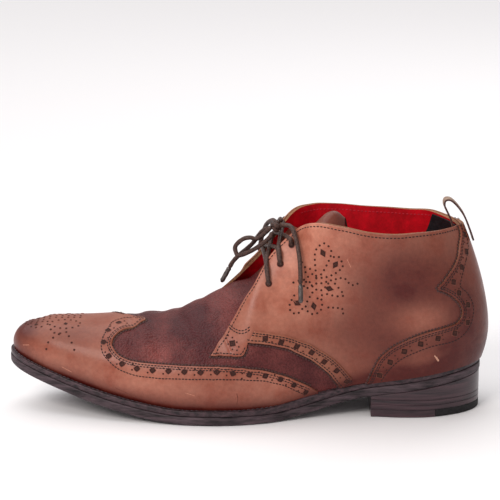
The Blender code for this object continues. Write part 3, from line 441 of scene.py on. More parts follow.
# Sole edge: stacked bend leather, inked nearly black and scuffed, streaks run along the shoe
streaks, stackStreaks = (0.25, 0.25, 1.6), (0.15, 0.15, 3.2)
soleInk = plainFinish("inked_sole_edge", "#56464C", "#191316", 260.0, 0.55, 0.6, streaks, 0.05, 8.0)
weltInk = plainFinish("waxed_black_welt", "#4E3A40", "#1C1418", 500.0, 0.42, 0.5, (0.5, 0.5, 1.0), 0.15)
heelStack = plainFinish(
    "polished_heel_stack", "#4C343B", "#261A20", 160.0, 0.30, 0.25, stackStreaks, 0.35, 6.0
)
heelRubber = plainFinish("black_heel_rubber", "#2C2A2C", "#141314", 700.0, 0.7, 0.4)
sockCalf = plainFinish("red_sock_lining", "#A2101E", "#7E0A16", 160.0, 0.6, 0.2)
strapWeb = plainFinish("tan_pull_strap", "#B09684", "#80685A", 700.0, 0.65, 0.5)
waxedLace = plainFinish("waxed_cotton_lace", "#5A4038", "#2A1B18", 900.0, 0.5, 0.4, coat=0.08)
aglet = plainFinish("clear_lacquered_tip", "#5A4E4A", "#2E2624", 500.0, 0.2, 0.1, coat=0.8)
weltThread = plainFinish("waxed_welt_thread", "#6B6064", "#3A3236", 1500.0, 0.5, 0.5)
print("stage: materials")


def meshObject(name, points, faces, materials, faceMaterials=None, shade=None):
    mesh = bpy.data.meshes.new(name)
    mesh.from_pydata(points.tolist(), [], faces)
    for one in materials:
        mesh.materials.append(one)
    if faceMaterials is not None:
        mesh.polygons.foreach_set("material_index", np.asarray(faceMaterials, dtype=np.int32))
    mesh.polygons.foreach_set("use_smooth", np.full(len(mesh.polygons), True))
    if shade is not None:
        layer = mesh.attributes.new("shade", "FLOAT", "POINT")
        layer.data.foreach_set("value", shade.astype(np.float32))
    mesh.update()
    made = bpy.data.objects.new(name, mesh)
    bpy.context.scene.collection.objects.link(made)
    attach(made, "root")
    return made


def gridQuads(rows, columns, start=0, flip=False):
    index = start + np.arange(rows * columns).reshape(rows, columns)
    ring = np.stack([index[:-1, :-1], index[1:, :-1], index[1:, 1:], index[:-1, 1:]], -1).reshape(-1, 4)
    return ring[:, ::-1] if flip else ring


def closedSheet(name, patches, materials, shade=None):
    # Closed shell: outer grids, inner grids behind them and a rim round every open edge.
    # Each patch is (outer points, inner points, flip); patches meet where their points agree.
    outer, inner, quads, start = [], [], [], 0
    for out, back, flip in patches:
        quads.append(gridQuads(*out.shape[:2], start, flip))
        outer.append(out.reshape(-1, 3))
        inner.append(back.reshape(-1, 3))
        start += out.shape[0] * out.shape[1]
    outer, inner, quads = np.concatenate(outer), np.concatenate(inner), np.concatenate(quads)
    codes = np.round(outer / 1e-5).astype(np.int64)
    _, first, ids = np.unique(codes, axis=0, return_index=True, return_inverse=True)
    ids = ids.reshape(-1)
    outer, inner, quads = outer[first], inner[first], ids[quads]
    rings = [list(dict.fromkeys(q)) for q in quads.tolist()]
    rings = [q for q in rings if len(q) > 2]
    starts = np.array([v for q in rings for v in q])
    ends = np.array([v for q in rings for v in q[1:] + q[:1]])
    count = len(outer)
    rim = ~np.isin(starts * count + ends, ends * count + starts)
    a, b = starts[rim], ends[rim]
    rims = np.stack([b, a, a + count, b + count], 1).tolist()
    backs = [[v + count for v in reversed(q)] for q in rings]
    points = np.concatenate([outer, inner])
    kinds = [0] * len(rings) + [1] * len(backs) + [2] * len(rims)
    shades = shade(points) if shade else np.zeros(len(points))
    made = meshObject(name, points, rings + backs + rims, materials, kinds, shades)
    mesh = made.data
    keys = {(min(e), max(e)) for e in zip(a.tolist(), b.tolist())}
    keys |= {(x + count, y + count) for x, y in keys}
    corner = np.zeros(len(mesh.edges) * 2, dtype=np.int32)
    mesh.edges.foreach_get("vertices", corner)
    corner = np.sort(corner.reshape(-1, 2), axis=1).astype(np.int64)
    base = 10**7
    rimCodes = np.array([x * base + y for x, y in keys])
    layer = mesh.attributes.new("sharp_edge", "BOOLEAN", "EDGE")
    layer.data.foreach_set("value", np.isin(corner[:, 0] * base + corner[:, 1], rimCodes))
    return made


def marked(points, marks):
    # Sum of bells; each mark is its weight, its centre and its reach in mm
    total = np.zeros(len(points))
    for weight, centre, reach in marks:
        off = (points - np.array(centre) * 0.001) / (np.array(reach) * 0.001)
        total += weight * np.exp(-(off**2).sum(1))
    return total


# Partly burnish, partly painted light and shade: darker at the toe tip, under the ankle and over the
# counter; lighter where the weight is negative
calfMarks = (
    (0.65, (-150, 3, 52), (12, 24, 9)), (0.30, (-115, -18, 50), (22, 12, 9)),
    (0.18, (62, -34, 62), (26, 24, 18)), (0.34, (98, -30, 96), (38, 26, 22)),
    (0.20, (30, -34, 58), (14, 20, 12)), (0.30, (138, -12, 55), (12, 24, 26)),
    (-0.22, (52, -34, 85), (10, 16, 14)), (-0.46, (112, -30, 68), (20, 24, 11)),
    (-0.20, (-75, -48, 30), (30, 20, 9)), (-0.22, (112, -30, 42), (10, 16, 10)),
    (-0.18, (-135, -24, 36), (14, 16, 12)),
)
# Painted light and shade on the vamp: two darker marks, lighter low on the outer side and near the ridge
vampMarks = (
    (0.12, (-66, -16, 55), (12, 30, 10)), (-0.30, (-60, -38, 44), (10, 10, 10)),
    (0.20, (-34, -20, 58), (16, 26, 14)), (-0.30, (-22, -10, 76), (20, 14, 8)),
)


def calfShade(points):
    # Partly burnish, partly painted light and shade: the quarter darkens from the facing to the back
    # and from the collar down, the last 12 mm over the welt darken, and the marks are added
    x, z = points[:, 0], points[:, 2]
    low = np.clip(1 - (z - weltTop(x + middle[0]) - 0.001) / 0.012, 0, 1) ** 1.5
    back = np.clip((x - 0.032) / 0.062, 0, 1)
    high = np.clip((z - 0.060) / 0.060, 0, 1)
    rear = np.clip((x + 0.010) / 0.030, 0, 1)
    dark = 0.42 * (1 - rear) + rear * (0.22 + 0.66 * back - 0.36 * high) + 0.60 * low
    return np.clip(dark + marked(points, calfMarks), -0.2, 1.0)


# The calf's tones, darker all over by painted shade on the tongue between the facings
def tongueShade(points):
    return calfShade(points) + 0.65


# A base tone, with the vamp's painted light and shade added
def vampShade(points):
    return 0.16 + marked(points, vampMarks)


grainWhole = [vampGrain, redLining, cutEdge]
stationsFull = np.concatenate([np.linspace(0, 22.5, 301), np.linspace(22.55, 23, 10)])
heightsFull = np.concatenate([[0.0, 0.02], np.linspace(0.04, 0.98, 96), [0.99, 0.996, 1.0]])


def basePatches():
    # Vamp and base: the last surface and its inner wall, both sides, meeting on the ridge
    patches = []
    for side in (-1, 1):
        k, h = np.meshgrid(stationsFull, heightsFull, indexing="ij")
        outer, normals = onShoe(side, k, h)
        inner = outer - shoe["wall"] * normals
        patches.append((outer, inner, side > 0))
    return patches


upper = closedSheet("upper_shell", basePatches(), grainWhole, vampShade)
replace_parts(upper, "upper")
print("stage: upper shell")

# Lifts over the base in metres, bottom and top: quarters and cap, then strips and counter
layers = {1: (0.0004, 0.0017), 2: (0.0018, 0.0030)}
firstTop, secondTop = layers[1][1], layers[2][1]


def roundedLift(off, low, high, radius=0.0007):
    # Lift of a cut panel: it rolls over a quarter circle within the radius from its raw edge
    near = np.clip(off / radius, 0.0, 1.0)
    return low + (high - low) * (0.45 + 0.55 * np.sqrt(1 - (1 - near) ** 2))


def edgeShares(length, count):
    # Shares across a panel with close lines near both raw edges, for rows of this length
    close = np.array([0.0, 0.00015, 0.0004, 0.0008])[None, :] / length[:, None]
    inner = np.linspace(0, 1, count)[None, 1:-1]
    start = close[:, -1:] + (1 - 2 * close[:, -1:]) * inner
    return np.concatenate([close, start, 1 - close[:, ::-1]], 1)


def fineRows(rows, count):
    # Panel rows at even spacing along the table, with close lines at both ends
    rows = np.array(rows, float)
    last = len(rows) - 1
    close = np.array([0, 0.012, 0.04])
    place = np.concatenate([close, np.linspace(0.1, last - 0.1, count), last - close[::-1]])
    return throughRows(padded(rows), np.clip(place, 0, last - 1e-6))


def ruledPanel(side, rows, count, across, level, lastRounded=True):
    # Panel between the low and the high edge of its rows, rolled over at its raw edges
    table = fineRows(rows, count)
    low, _ = onShoe(side, table[:, 0], table[:, 1])
    high, _ = onShoe(side, table[:, 2], table[:, 3])
    length = np.maximum(np.linalg.norm(high - low, axis=1), 0.004)
    share = edgeShares(length, across)
    k = table[:, :1] * (1 - share) + table[:, 2:3] * share
    h = table[:, 1:2] * (1 - share) + table[:, 3:4] * share
    travel = travelled(0.5 * (low + high))
    ends = np.minimum(1.0, travel)
    if lastRounded:
        ends = np.minimum(ends, travel[-1] - travel)
    off = np.minimum(np.minimum(share, 1 - share) * length[:, None], ends[:, None])
    bottom, top = layers[level]
    outer, _ = onShoe(side, k, h, roundedLift(off, bottom, top))
    inner, _ = onShoe(side, k, h, bottom)
    return outer, inner, side > 0


quarterBack = (
    (10.85, 0.585, 11.12, 0.94), (10.45, 0.505, 10.90, 0.998), (10.05, 0.425, 10.60, 1.0),
    (9.30, 0.335, 10.10, 1.0), (8.50, 0.235, 9.60, 1.0), (7.90, 0.145, 9.20, 1.0),
    (7.60, 0.095, 8.95, 1.0), (7.30, 0.0, 8.70, 1.0), (7.05, 0.0, 8.40, 1.0),
    (6.80, 0.0, 8.10, 1.0), (6.45, 0.0, 7.70, 1.0), (6.10, 0.0, 7.25, 1.0),
    (5.70, 0.0, 6.60, 1.0), (5.00, 0.0, 5.80, 1.0), (4.40, 0.0, 4.80, 1.0),
    (3.90, 0.0, 4.10, 1.0), (3.40, 0.0, 3.50, 1.0), (2.90, 0.0, 2.95, 1.0),
    (2.40, 0.0, 2.40, 1.0), (1.90, 0.0, 1.90, 1.0), (1.40, 0.0, 1.40, 1.0),
    (0.90, 0.0, 0.90, 1.0), (0.45, 0.0, 0.45, 1.0), (0.0, 0.0, 0.0, 1.0),
)
quarterFront = {
    -1: (
        (12.30, 0.398, 12.20, 0.417), (12.05, 0.390, 12.10, 0.455), (11.75, 0.417, 11.88, 0.530),
        (11.50, 0.450, 11.72, 0.610), (11.25, 0.475, 11.58, 0.690), (11.05, 0.495, 11.42, 0.780),
        (10.94, 0.540, 11.26, 0.870),
    ),
    1: ((12.45, 0.40, 12.38, 0.45), (11.75, 0.43, 12.10, 0.64), (11.10, 0.48, 11.72, 0.84)),
}
stripRows = (
    (10.90, 0.593, 10.65, 0.638), (10.60, 0.530, 10.35, 0.560), (10.25, 0.455, 10.05, 0.500),
    (9.95, 0.408, 9.75, 0.458), (9.65, 0.370, 9.40, 0.415), (9.35, 0.335, 9.10, 0.380),
    (9.10, 0.300, 8.80, 0.345), (8.80, 0.263, 8.50, 0.318), (8.50, 0.228, 8.25, 0.285),
    (8.25, 0.193, 7.95, 0.250), (8.00, 0.155, 7.70, 0.217), (7.75, 0.113, 7.45, 0.177),
    (7.55, 0.065, 7.20, 0.125), (7.30, 0.005, 6.88, 0.050),
)
counterEdge = np.array((
    (6.30, 0.0), (6.05, 0.100), (5.85, 0.165), (5.50, 0.220), (5.15, 0.255), (4.60, 0.290),
    (4.05, 0.310), (3.60, 0.318), (3.20, 0.325), (2.85, 0.335), (2.60, 0.365), (2.50, 0.410),
    (2.60, 0.465), (2.95, 0.530), (3.30, 0.570), (3.60, 0.600), (3.30, 0.640), (3.00, 0.680),
    (2.50, 0.740), (2.15, 0.790), (1.95, 0.830), (1.75, 0.870), (1.25, 0.940), (1.20, 0.990),
))
# Height of each of the counter's rows on the back seam
counterSeam = (
    0, 0.08, 0.13, 0.165, 0.2, 0.235, 0.27, 0.29, 0.31, 0.335, 0.37, 0.41,
    0.46, 0.51, 0.55, 0.59, 0.63, 0.67, 0.72, 0.77, 0.82, 0.87, 0.94, 0.99,
)
calfWhole = [tanCalf, cutEdge, cutEdge]
bandWhole = [bandCalf, cutEdge, cutEdge]
for side, word in ((-1, "lateral"), (1, "medial")):
    patch = ruledPanel(side, quarterFront[side] + quarterBack, 190, 60, 1, False)
    quarter = closedSheet("calf_quarter_" + word, [patch], calfWhole, calfShade)
    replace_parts(quarter, "quarter_" + word)
    patch = ruledPanel(side, stripRows, 90, 10, 2)
    strip = closedSheet("calf_strip_" + word, [patch], bandWhole, calfShade)
    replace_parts(strip, "brogue_strip_" + word)


def counterPatch(count=150, across=60):
    # From the outer edge of each row round the back seam to the inner side's edge
    table = fineRows(counterEdge, count)
    rowShare = np.linspace(0, 1, len(counterSeam))
    back = np.interp(np.linspace(0, 1, len(table)), rowShare, counterSeam)
    place, _ = onShoe(-1, table[:, 0], table[:, 1])
    seam, _ = onShoe(-1, 0.0 * table[:, 0], back)
    length = 2 * np.linalg.norm(place - seam, axis=1) * 1.1
    share = 2 * edgeShares(length, across) - 1
    side = np.where(share < 0, -1, 1)
    k = np.abs(share) * table[:, :1]
    h = back[:, None] * (1 - np.abs(share) ** 1.5) + table[:, 1:2] * np.abs(share) ** 1.5
    off = (1 - np.abs(share)) * 0.5 * length[:, None]
    bottom, top = layers[2]
    outer, _ = onShoe(side, k, h, roundedLift(off, bottom, top))
    inner, _ = onShoe(side, k, h, bottom)
    return outer, inner, False


counter = closedSheet("calf_counter", [counterPatch()], calfWhole, calfShade)
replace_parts(counter, "heel_counter")

wingEdge = np.array((
    (16.10, 0.50), (15.85, 0.417), (15.45, 0.375), (15.00, 0.362), (14.55, 0.362), (14.10, 0.362),
    (13.70, 0.357), (13.25, 0.345), (12.80, 0.333), (12.40, 0.323), (11.95, 0.318), (11.55, 0.357),
    (11.20, 0.380), (11.00, 0.378), (10.65, 0.333), (10.20, 0.265), (9.80, 0.215), (9.35, 0.163),
    (8.95, 0.113), (8.50, 0.060), (8.15, 0.012),
))
peakEdge = np.array((
    (-0.50, 16.10), (-0.40, 16.02), (-0.30, 15.70), (-0.22, 15.15), (-0.15, 14.85), (-0.06, 15.15),
    (0.04, 15.65), (0.16, 15.95), (0.28, 16.10), (0.40, 16.12), (0.50, 16.10),
))


def rolledPatch(side, k, h, rim, joined):
    # Part of the cap that rolls over towards its rim, and meets the front where joined
    bottom, top = layers[1]
    off = np.linalg.norm(onShoe(side, k, h)[0] - rim, axis=2)
    lift = np.where(joined, top, roundedLift(off, bottom, top))
    return onShoe(side, k, h, lift)[0], onShoe(side, k, h, bottom)[0], side < 0


def capPatches():
    # Front of the toe, then a wing and a peak on each side; they share their lines of points
    bottom, top = layers[1]
    lowHeights = np.linspace(0.0, 0.5, 40)
    highHeights = np.linspace(0.5, 1.0, 50)
    start = wingEdge[0, 0]
    front = np.concatenate([[start], np.linspace(16.25, 22.5, 80), np.linspace(22.55, 23.0, 10)])
    wing = fineRows(wingEdge, 130)
    curve = curveThrough(peakEdge, 400)
    share = np.linspace(0, 1, 40)[None, :]
    part = np.linspace(0, 1, 30)[:, None]
    patches = []
    for side in (-1, 1):
        k, h = np.meshgrid(front, np.concatenate([lowHeights, highHeights[1:]]), indexing="ij")
        patches.append((onShoe(side, k, h, top)[0], onShoe(side, k, h, bottom)[0], side > 0))
        rim, _ = onShoe(side, wing[:, 0], wing[:, 1])
        k, h = wing[:, :1] + 0 * share, wing[:, 1:] * share
        patches.append(rolledPatch(side, k, h, rim[:, None], wing[:, :1] > start - 0.05))
        edge = np.minimum(np.interp(side * (1 - highHeights), curve[:, 0], curve[:, 1]), start)
        k, h = start - (start - edge)[None, :] * part, np.tile(highHeights, (len(part), 1))
        rim, _ = onShoe(side, k[-1], h[-1])
        patches.append(rolledPatch(side, k, h, rim[None], part < 0.01))
    return patches


cap = closedSheet("calf_wing_cap", capPatches(), calfWhole, calfShade)
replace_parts(cap, "wing_cap")
print("stage: panels")

# Tongue: rows of left edge, centre and right edge in pattern millimetres, from the apex up
tongueTop = np.array((
    (41, -15, 113.5, 41, 2, 118, 42, 15, 115), (48.5, -13, 118, 48, 2, 126, 51, 14, 119),
    (54, -11, 121, 54, 2, 131.5, 58, 12.5, 121), (60, -9.5, 120.5, 60, 2, 132.5, 64, 11.5, 120),
    (66, -8, 116, 66, 2, 128, 69, 10, 116),
)) * 0.001 - np.tile(middle, 3)
# Its front rows hang from the facings: station, sink under them in mm, and the centre in mm
tongueFront = np.array((
    (12.0, 0.3, -15.9, 4, 79.0), (11.7, 0.8, -11.0, 4, 80.6), (11.4, 3.5, -6.5, 4, 80.8),
    (11.0, 8.0, 0.5, 4, 81.0), (10.5, 12.0, 10, 3, 83.0), (10.0, 13.5, 19.5, 2, 89.5),
    (9.5, 13.5, 27, 1, 97.5), (9.0, 12.0, 34.5, 1, 107.5),
))
tongueForm = dict(thick=0.0020, reach=1.12, rows=120, columns=56, throatRows=42, lift=-0.0004)


def tonguePatch(first, last):
    # A parabola through left, centre and right of each row, carried along the rows. The first
    # rows fold, so they take the normals of the next one, and all normals point up.
    sink = 0.001 * tongueFront[:, 1:2] * [0, 0, 1]
    left, right = (onShoe(side, tongueFront[:, 0], 1.0, tongueForm["lift"])[0] - sink for side in (-1, 1))
    front = np.column_stack([left, tongueFront[:, 2:] * 0.001 - middle, right])
    rows = curveThrough(np.concatenate([front, tongueTop]), tongueForm["rows"])
    left, centre, right = rows[:, None, :3], rows[:, None, 3:6], rows[:, None, 6:]
    s = np.linspace(-tongueForm["reach"], tongueForm["reach"], tongueForm["columns"])[None, :, None]
    points = left * s * (s - 1) / 2 + centre * (1 - s**2) + right * s * (s + 1) / 2
    normals = unitRows(np.cross(np.gradient(points, axis=1), np.gradient(points, axis=0)), 1e-9)
    normals[:4] = normals[4]
    normals *= np.sign(normals[60, 25, 2])
    points, normals = points[first:last], normals[first:last]
    return points, points - tongueForm["thick"] * normals, False


throatWhole = [vampGrain, redLining, darkEdge]
tongueWhole = [tanCalf, redLining, darkEdge]
throatPatch = tonguePatch(0, tongueForm["throatRows"])
closedSheet("vamp_throat", [throatPatch], throatWhole, vampShade)
flapPatch = tonguePatch(tongueForm["throatRows"] - 1, tongueForm["rows"])
tongue = closedSheet("calf_tongue", [flapPatch], tongueWhole, tongueShade)
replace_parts(tongue, "tongue")


def outlineLoop(kind, inset, low=0.0, high=23.0, count=150):
    # Closed plan loop of the sole or the feather line: outer side from high to low station,
    # then the inner side back
    halves = []
    for side in (-1, 1):
        table = np.column_stack([soleEdge, np.zeros(len(soleEdge))]) if kind == "sole" else sections[:, :4]
        rows = sideRows(table, side, np.array([0.0]))[:, :2]
        k = low + (high - low) * (0.5 - 0.5 * np.cos(np.linspace(0, math.pi, count)))
        halves.append(throughRows(rows, k) - inset * outward(rows, k, side))
    return np.concatenate([halves[0][::-1], halves[1]])


def profileRing(name, kind, profile, materials, low=0.0, high=23.0, capped=True):
    # Profile rows of (inset, height function, kind) carried round the outline; capped flat at
    # its first and last loop by strips from side to side, or joined to itself when hollow
    loops = []
    for row in profile:
        inset, height = row[:2]
        plan = outlineLoop(row[2] if len(row) > 2 else kind, inset, low, high)
        loops.append(np.column_stack([plan, height(plan[:, 0])]) - middle)
    count, total = len(loops[0]), len(loops)
    grid = np.arange(total * count).reshape(total, count)
    faces = []
    pairs = [(i, i + 1) for i in range(total - 1)] + ([] if capped else [(total - 1, 0)])
    for i, j in pairs:
        a, b = grid[i], grid[j]
        ring = np.stack([a, np.roll(a, -1), np.roll(b, -1), b], 1)
        faces += ring[:, ::-1].tolist()
    if capped:
        half = count // 2
        for row, flip in ((grid[0], True), (grid[-1], False)):
            n = np.arange(half - 1)
            ring = np.stack([row[n], row[n + 1], row[count - 2 - n], row[count - 1 - n]], 1)
            faces += (ring[:, ::-1] if flip else ring).tolist()
    points = np.concatenate(loops)
    made = meshObject(name, points, faces, materials)
    mesh = made.data
    sheet = bmesh.new()
    sheet.from_mesh(mesh)
    bmesh.ops.remove_doubles(sheet, verts=sheet.verts[:], dist=1e-6)
    bmesh.ops.recalc_face_normals(sheet, faces=sheet.faces[:])
    for edge in sheet.edges:
        edge.smooth = edge.calc_face_angle(0.0) < 0.75
    sheet.to_mesh(mesh)
    sheet.free()
    return made


def rounded(low, high, inset, radius):
    # Half profile with quarter circles at the bottom and the top edge
    rows = []
    for turn in np.linspace(0, math.pi / 2, 5):
        rows.append((inset + radius * (1 - math.sin(turn)), raised(low, radius * (1 - math.cos(turn)))))
    for turn in np.linspace(0, math.pi / 2, 5):
        rows.append((inset + radius * (1 - math.cos(turn)), raised(high, -radius * (1 - math.sin(turn)))))
    return rows


def raised(surface, up):
    # The height function of a surface that lies up metres over another one
    return lambda x: surface(x) + up


def floorHeight(x):
    return 0.0 * x


soleForm = dict(inset=0.0, edge=0.0012)
soleRows = rounded(groundHeight, soleTop, soleForm["inset"], soleForm["edge"])
outsole = profileRing("leather_outsole", "sole", soleRows, [soleInk])
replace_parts(outsole, "outsole")
# The welt's rounded outer edge, then its inner rows under the upper
weltForm = dict(inset=0.0003, edge=0.0008, clear=0.0002, shoulder=-0.0006, inner=0.0035)
weltLow = raised(soleTop, weltForm["clear"])
weltRows = rounded(weltLow, weltTop, weltForm["inset"], weltForm["edge"]) + [
    (weltForm["shoulder"], raised(weltTop, 0.0001), "feather"),
    (weltForm["inner"], raised(weltTop, -0.0004), "feather"), (weltForm["inner"], weltLow, "feather"),
]
welt = profileRing("stitched_welt", "sole", weltRows, [weltInk], capped=False)
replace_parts(welt, "welt")
sockRows = [(0.0035, weltTop), (0.0028, raised(weltTop, 0.0028)), (0.0036, raised(weltTop, 0.0034))]
sock = profileRing("sock_lining", "feather", sockRows, [sockCalf])
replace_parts(sock, "insole")

heelForm = dict(inset=0.0004, edge=0.00035, clear=0.0001)
# Heel: node, finish, slot, first and last station, bottom and top; no top is the sole's underside
heelPieces = dict(
    rubber_heel_tip=("heel_tip", heelRubber, "heel_rubber", 0.0, 3.75, 0.0, 0.0050),
    leather_top_piece=("top_piece", heelStack, "stacked_leather", 3.77, 6.16, 0.0, 0.0050),
    heel_layer_1=("heel_lift_1", heelStack, "stacked_leather", 0.0, 6.16, 0.0050, 0.0084),
    heel_layer_2=("heel_lift_2", heelStack, "stacked_leather", 0.0, 6.16, 0.0084, 0.0118),
    heel_layer_3=("heel_lift_3", heelStack, "stacked_leather", 0.0, 6.16, 0.0118, None),
)
for name, (node, finish, slot, start, end, bottom, top) in heelPieces.items():
    upperFace = raised(floorHeight, top) if top else raised(groundHeight, -heelForm["clear"])
    rows = rounded(raised(floorHeight, bottom), upperFace, heelForm["inset"], heelForm["edge"])
    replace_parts(profileRing(name, "sole", rows, [finish], start, end), node)
print("stage: bottom")


def evenRow(side, rows, pitch, count=None):
    # Places at an even spacing in metres along a charted line of (station, height)
    rows = np.array(rows, float)
    fine = curveThrough(rows, 40 * len(rows))
    travel = travelled(onShoe(side, fine[:, 0], fine[:, 1])[0])
    count = count or int(round(travel[-1] / pitch)) + 1
    spots = np.linspace(0, travel[-1], count)
    return np.interp(spots, travel, fine[:, 0]), np.interp(spots, travel, fine[:, 1])


def apart(side, k0, h0, k1, h1):
    return np.linalg.norm(onShoe(side, k0, h0)[0] - onShoe(side, k1, h1)[0], axis=1)


def insetLine(side, rows, inset, count=200):
    # The charted line moved sideways over the surface by the inset, to its left as it runs
    k, h = evenRow(side, rows, 0.001, count)
    alongK = apart(side, k + 0.05, h, k - 0.05, h) / 0.1
    highH, lowH = np.clip(h + 0.01, 0, 1), np.clip(h - 0.01, 0, 1)
    alongH = apart(side, k, highH, k, lowH) / (highH - lowH)
    du, dv = np.gradient(k) * alongK, np.gradient(h) * alongH
    size = np.maximum(np.hypot(du, dv), 1e-9)
    return np.column_stack([k - dv / size * inset / alongK, h + du / size * inset / alongH])


# Corners of one stitch as shares of its length, width and height, and its faces
stitchShape = np.array((
    (-0.5, 0, 0), (-0.28, 0.5, 0.35), (0.28, 0.5, 0.35), (0.5, 0, 0), (0.28, -0.5, 0.35),
    (-0.28, -0.5, 0.35), (-0.2, 0, 1.0), (0.2, 0, 1.0),
))
stitchFaces = np.array((
    (0, 6, 1, 1), (1, 6, 7, 2), (2, 7, 3, 3), (3, 7, 4, 4), (4, 7, 6, 5), (5, 6, 0, 0),
))


def stitchMesh(name, rows, finish):
    # One small waxed lump per stitch, set by its place, direction and normal
    points, faces, start = [], [], 0
    for centre, along, normal, size in rows:
        axes = np.stack([along, np.cross(normal, along), normal], 1)
        lump = centre[:, None] + (stitchShape * np.array(size)) @ axes
        points.append(lump.reshape(-1, 3))
        index = (start + 8 * np.arange(len(centre)))[:, None, None] + stitchFaces[None]
        faces.append(index.reshape(-1, 4))
        start += 8 * len(centre)
    faces = [list(dict.fromkeys(q))[::-1] for q in np.concatenate(faces).tolist()]
    return meshObject(name, np.concatenate(points), faces, [finish])


# Length, width and height of the stitches, their pitches and the insets of a double row
stitch = dict(size=(0.0020, 0.0007, 0.00035), pitch=0.0022, collarPitch=0.0024, double=(0.0013, 0.0026))
gimped = dict(size=(0.0024, 0.0015, 0.0007), pitch=0.0022, slant=0.8)
liningStitch = dict(size=(0.0019, 0.0007, -0.0003), pitch=0.0026)


def stitchRow(side, rows, lift, pitch=stitch["pitch"], size=stitch["size"], slant=0.0):
    centre, normal = onShoe(side, *evenRow(side, rows, pitch), lift)
    along = unitRows(np.gradient(centre, axis=0))
    if slant:
        along = unitRows(along + slant * np.cross(normal, along))
    return centre, along, normal, size


capFront = (
    (14.80, 0.99), (15.10, 0.97), (16.05, 0.86), (16.30, 0.715), (16.50, 0.537), (16.45, 0.415),
    (16.15, 0.335), (15.80, 0.283), (15.40, 0.258), (15.00, 0.247), (14.55, 0.250), (14.15, 0.250),
    (13.75, 0.253), (13.30, 0.250), (12.90, 0.242), (12.50, 0.238), (12.05, 0.230), (11.70, 0.250),
    (11.30, 0.280), (10.95, 0.278), (10.35, 0.215), (9.95, 0.170), (9.55, 0.130), (9.15, 0.077),
    (8.70, 0.020),
)
counterFront = (
    (5.78, 0.015), (5.50, 0.085), (5.15, 0.143), (4.75, 0.175), (4.00, 0.208), (3.10, 0.215),
    (2.60, 0.238), (2.15, 0.292), (1.85, 0.378), (1.85, 0.450), (2.10, 0.525), (2.45, 0.580),
    (2.35, 0.628), (1.95, 0.703), (1.55, 0.765), (0.90, 0.85), (0.60, 0.95),
)
liningLine = [(station, 0.965) for station in (8.6, 7.5, 6, 4.5, 3, 1.5, 0.05)]
tabLine = np.array(((11.55, 0.693), (11.20, 0.701), (10.85, 0.708)))
stripLow = [row[:2] for row in stripRows]
stripHigh = [row[2:] for row in stripRows]
darkRows, redRows, edgeRows = [], [], []


def onCap(side, line, margin=0.04):
    # Places that lie inside the cap's edge over the toe, by a margin in stations
    line = np.array(line)
    peak = sorted((1 - abs(girth), station) for girth, station in peakEdge if side * girth >= 0.0)
    rise, rim = zip(*peak)
    return line[(line[:, 0] > np.interp(line[:, 1], rise, rim) + margin) | (line[:, 1] < 0.5)]


for side in (-1, 1):
    peak = [(station, 1 - abs(girth)) for girth, station in peakEdge if side * girth >= 0.0]
    wholeEdge = sorted(peak, key=lambda place: -place[1]) + [tuple(row) for row in wingEdge[1:-1]]
    low = [row[:2] for row in quarterFront[side]]
    facing = [(row[2], min(row[3], 0.999)) for row in quarterFront[side] + quarterBack]
    seams = []
    for inset in stitch["double"]:
        line = insetLine(side, wholeEdge, inset)
        seams.append((onCap(side, line[line[:, 1] < 0.985]), firstTop))
    seams.append((onCap(side, insetLine(side, capFront, 0.0)), firstTop))
    insets = [(stripHigh, 0.0012), (stripHigh, 0.0024), (stripLow, -0.0013)]
    insets += [(counterEdge, inset) for inset in stitch["double"]]
    seams += [(insetLine(side, line, inset), secondTop) for line, inset in insets]
    seams += [
        (counterFront, secondTop),
        (insetLine(side, facing, 0.0022), firstTop, stitch["collarPitch"]),
        (insetLine(side, low, -0.0014), firstTop), (tabLine, firstTop),
        (tabLine - [0, 0.024], firstTop),
    ]
    darkRows += [stitchRow(side, *seam) for seam in seams]
    for line, inset, lift in ((wholeEdge, -0.0007, 0.0001), (counterEdge, -0.0007, firstTop),
                              (stripLow, 0.0007, 0.0006), (low, 0.0007, 0.0001)):
        edgeRows.append(stitchRow(side, insetLine(side, line, inset), lift, **gimped))
    redRows.append(stitchRow(side, liningLine, -shoe["wall"] - 0.0001, **liningStitch))
stitchMesh("upper_stitches", darkRows, darkThread)
stitchMesh("gimped_edges", edgeRows, darkEdge)
# Scratches and scuffs where the photo shows them: finish, then lines of (station, height) with
# their lift and width
scuffs = dict(
    pale=(paleScuff, (
        (((3.78, 0.122), (3.74, 0.110), (3.70, 0.100)), secondTop, 0.0012),
        (((3.84, 0.135), (3.82, 0.130)), secondTop, 0.0008),
    )),
    faint=(faintScuff, (
        (((20.6, 0.30), (20.2, 0.33)), firstTop, 0.0004), (((18.2, 0.15), (17.8, 0.13)), firstTop, 0.0004),
        (((6.90, 0.80), (6.80, 0.76)), firstTop, 0.0003), (((13.2, 0.15), (12.9, 0.13)), firstTop, 0.0003),
    )),
    dark=(holeLip, (
        (((11.30, 0.158), (11.27, 0.118), (11.30, 0.075)), firstTop, 0.0005),
        (((15.9, 0.10), (15.2, 0.06)), firstTop, 0.0004),
    )),
)
scuffMark = dict(pitch=0.0010, length=0.0015, height=0.00008)
for tone, (finish, lines) in scuffs.items():
    marks = []
    for line, lift, wide in lines:
        size = (scuffMark["length"], wide, scuffMark["height"])
        marks.append(stitchRow(-1, line, lift, scuffMark["pitch"], size))
    stitchMesh(tone + "_scuffs", marks, finish)
stitchMesh("lining_stitches", redRows, redThread)

weltSeam = dict(inset=0.0021, start=6.4, pitch=0.0031, size=(0.0026, 0.0010, 0.0005), lift=0.00005)


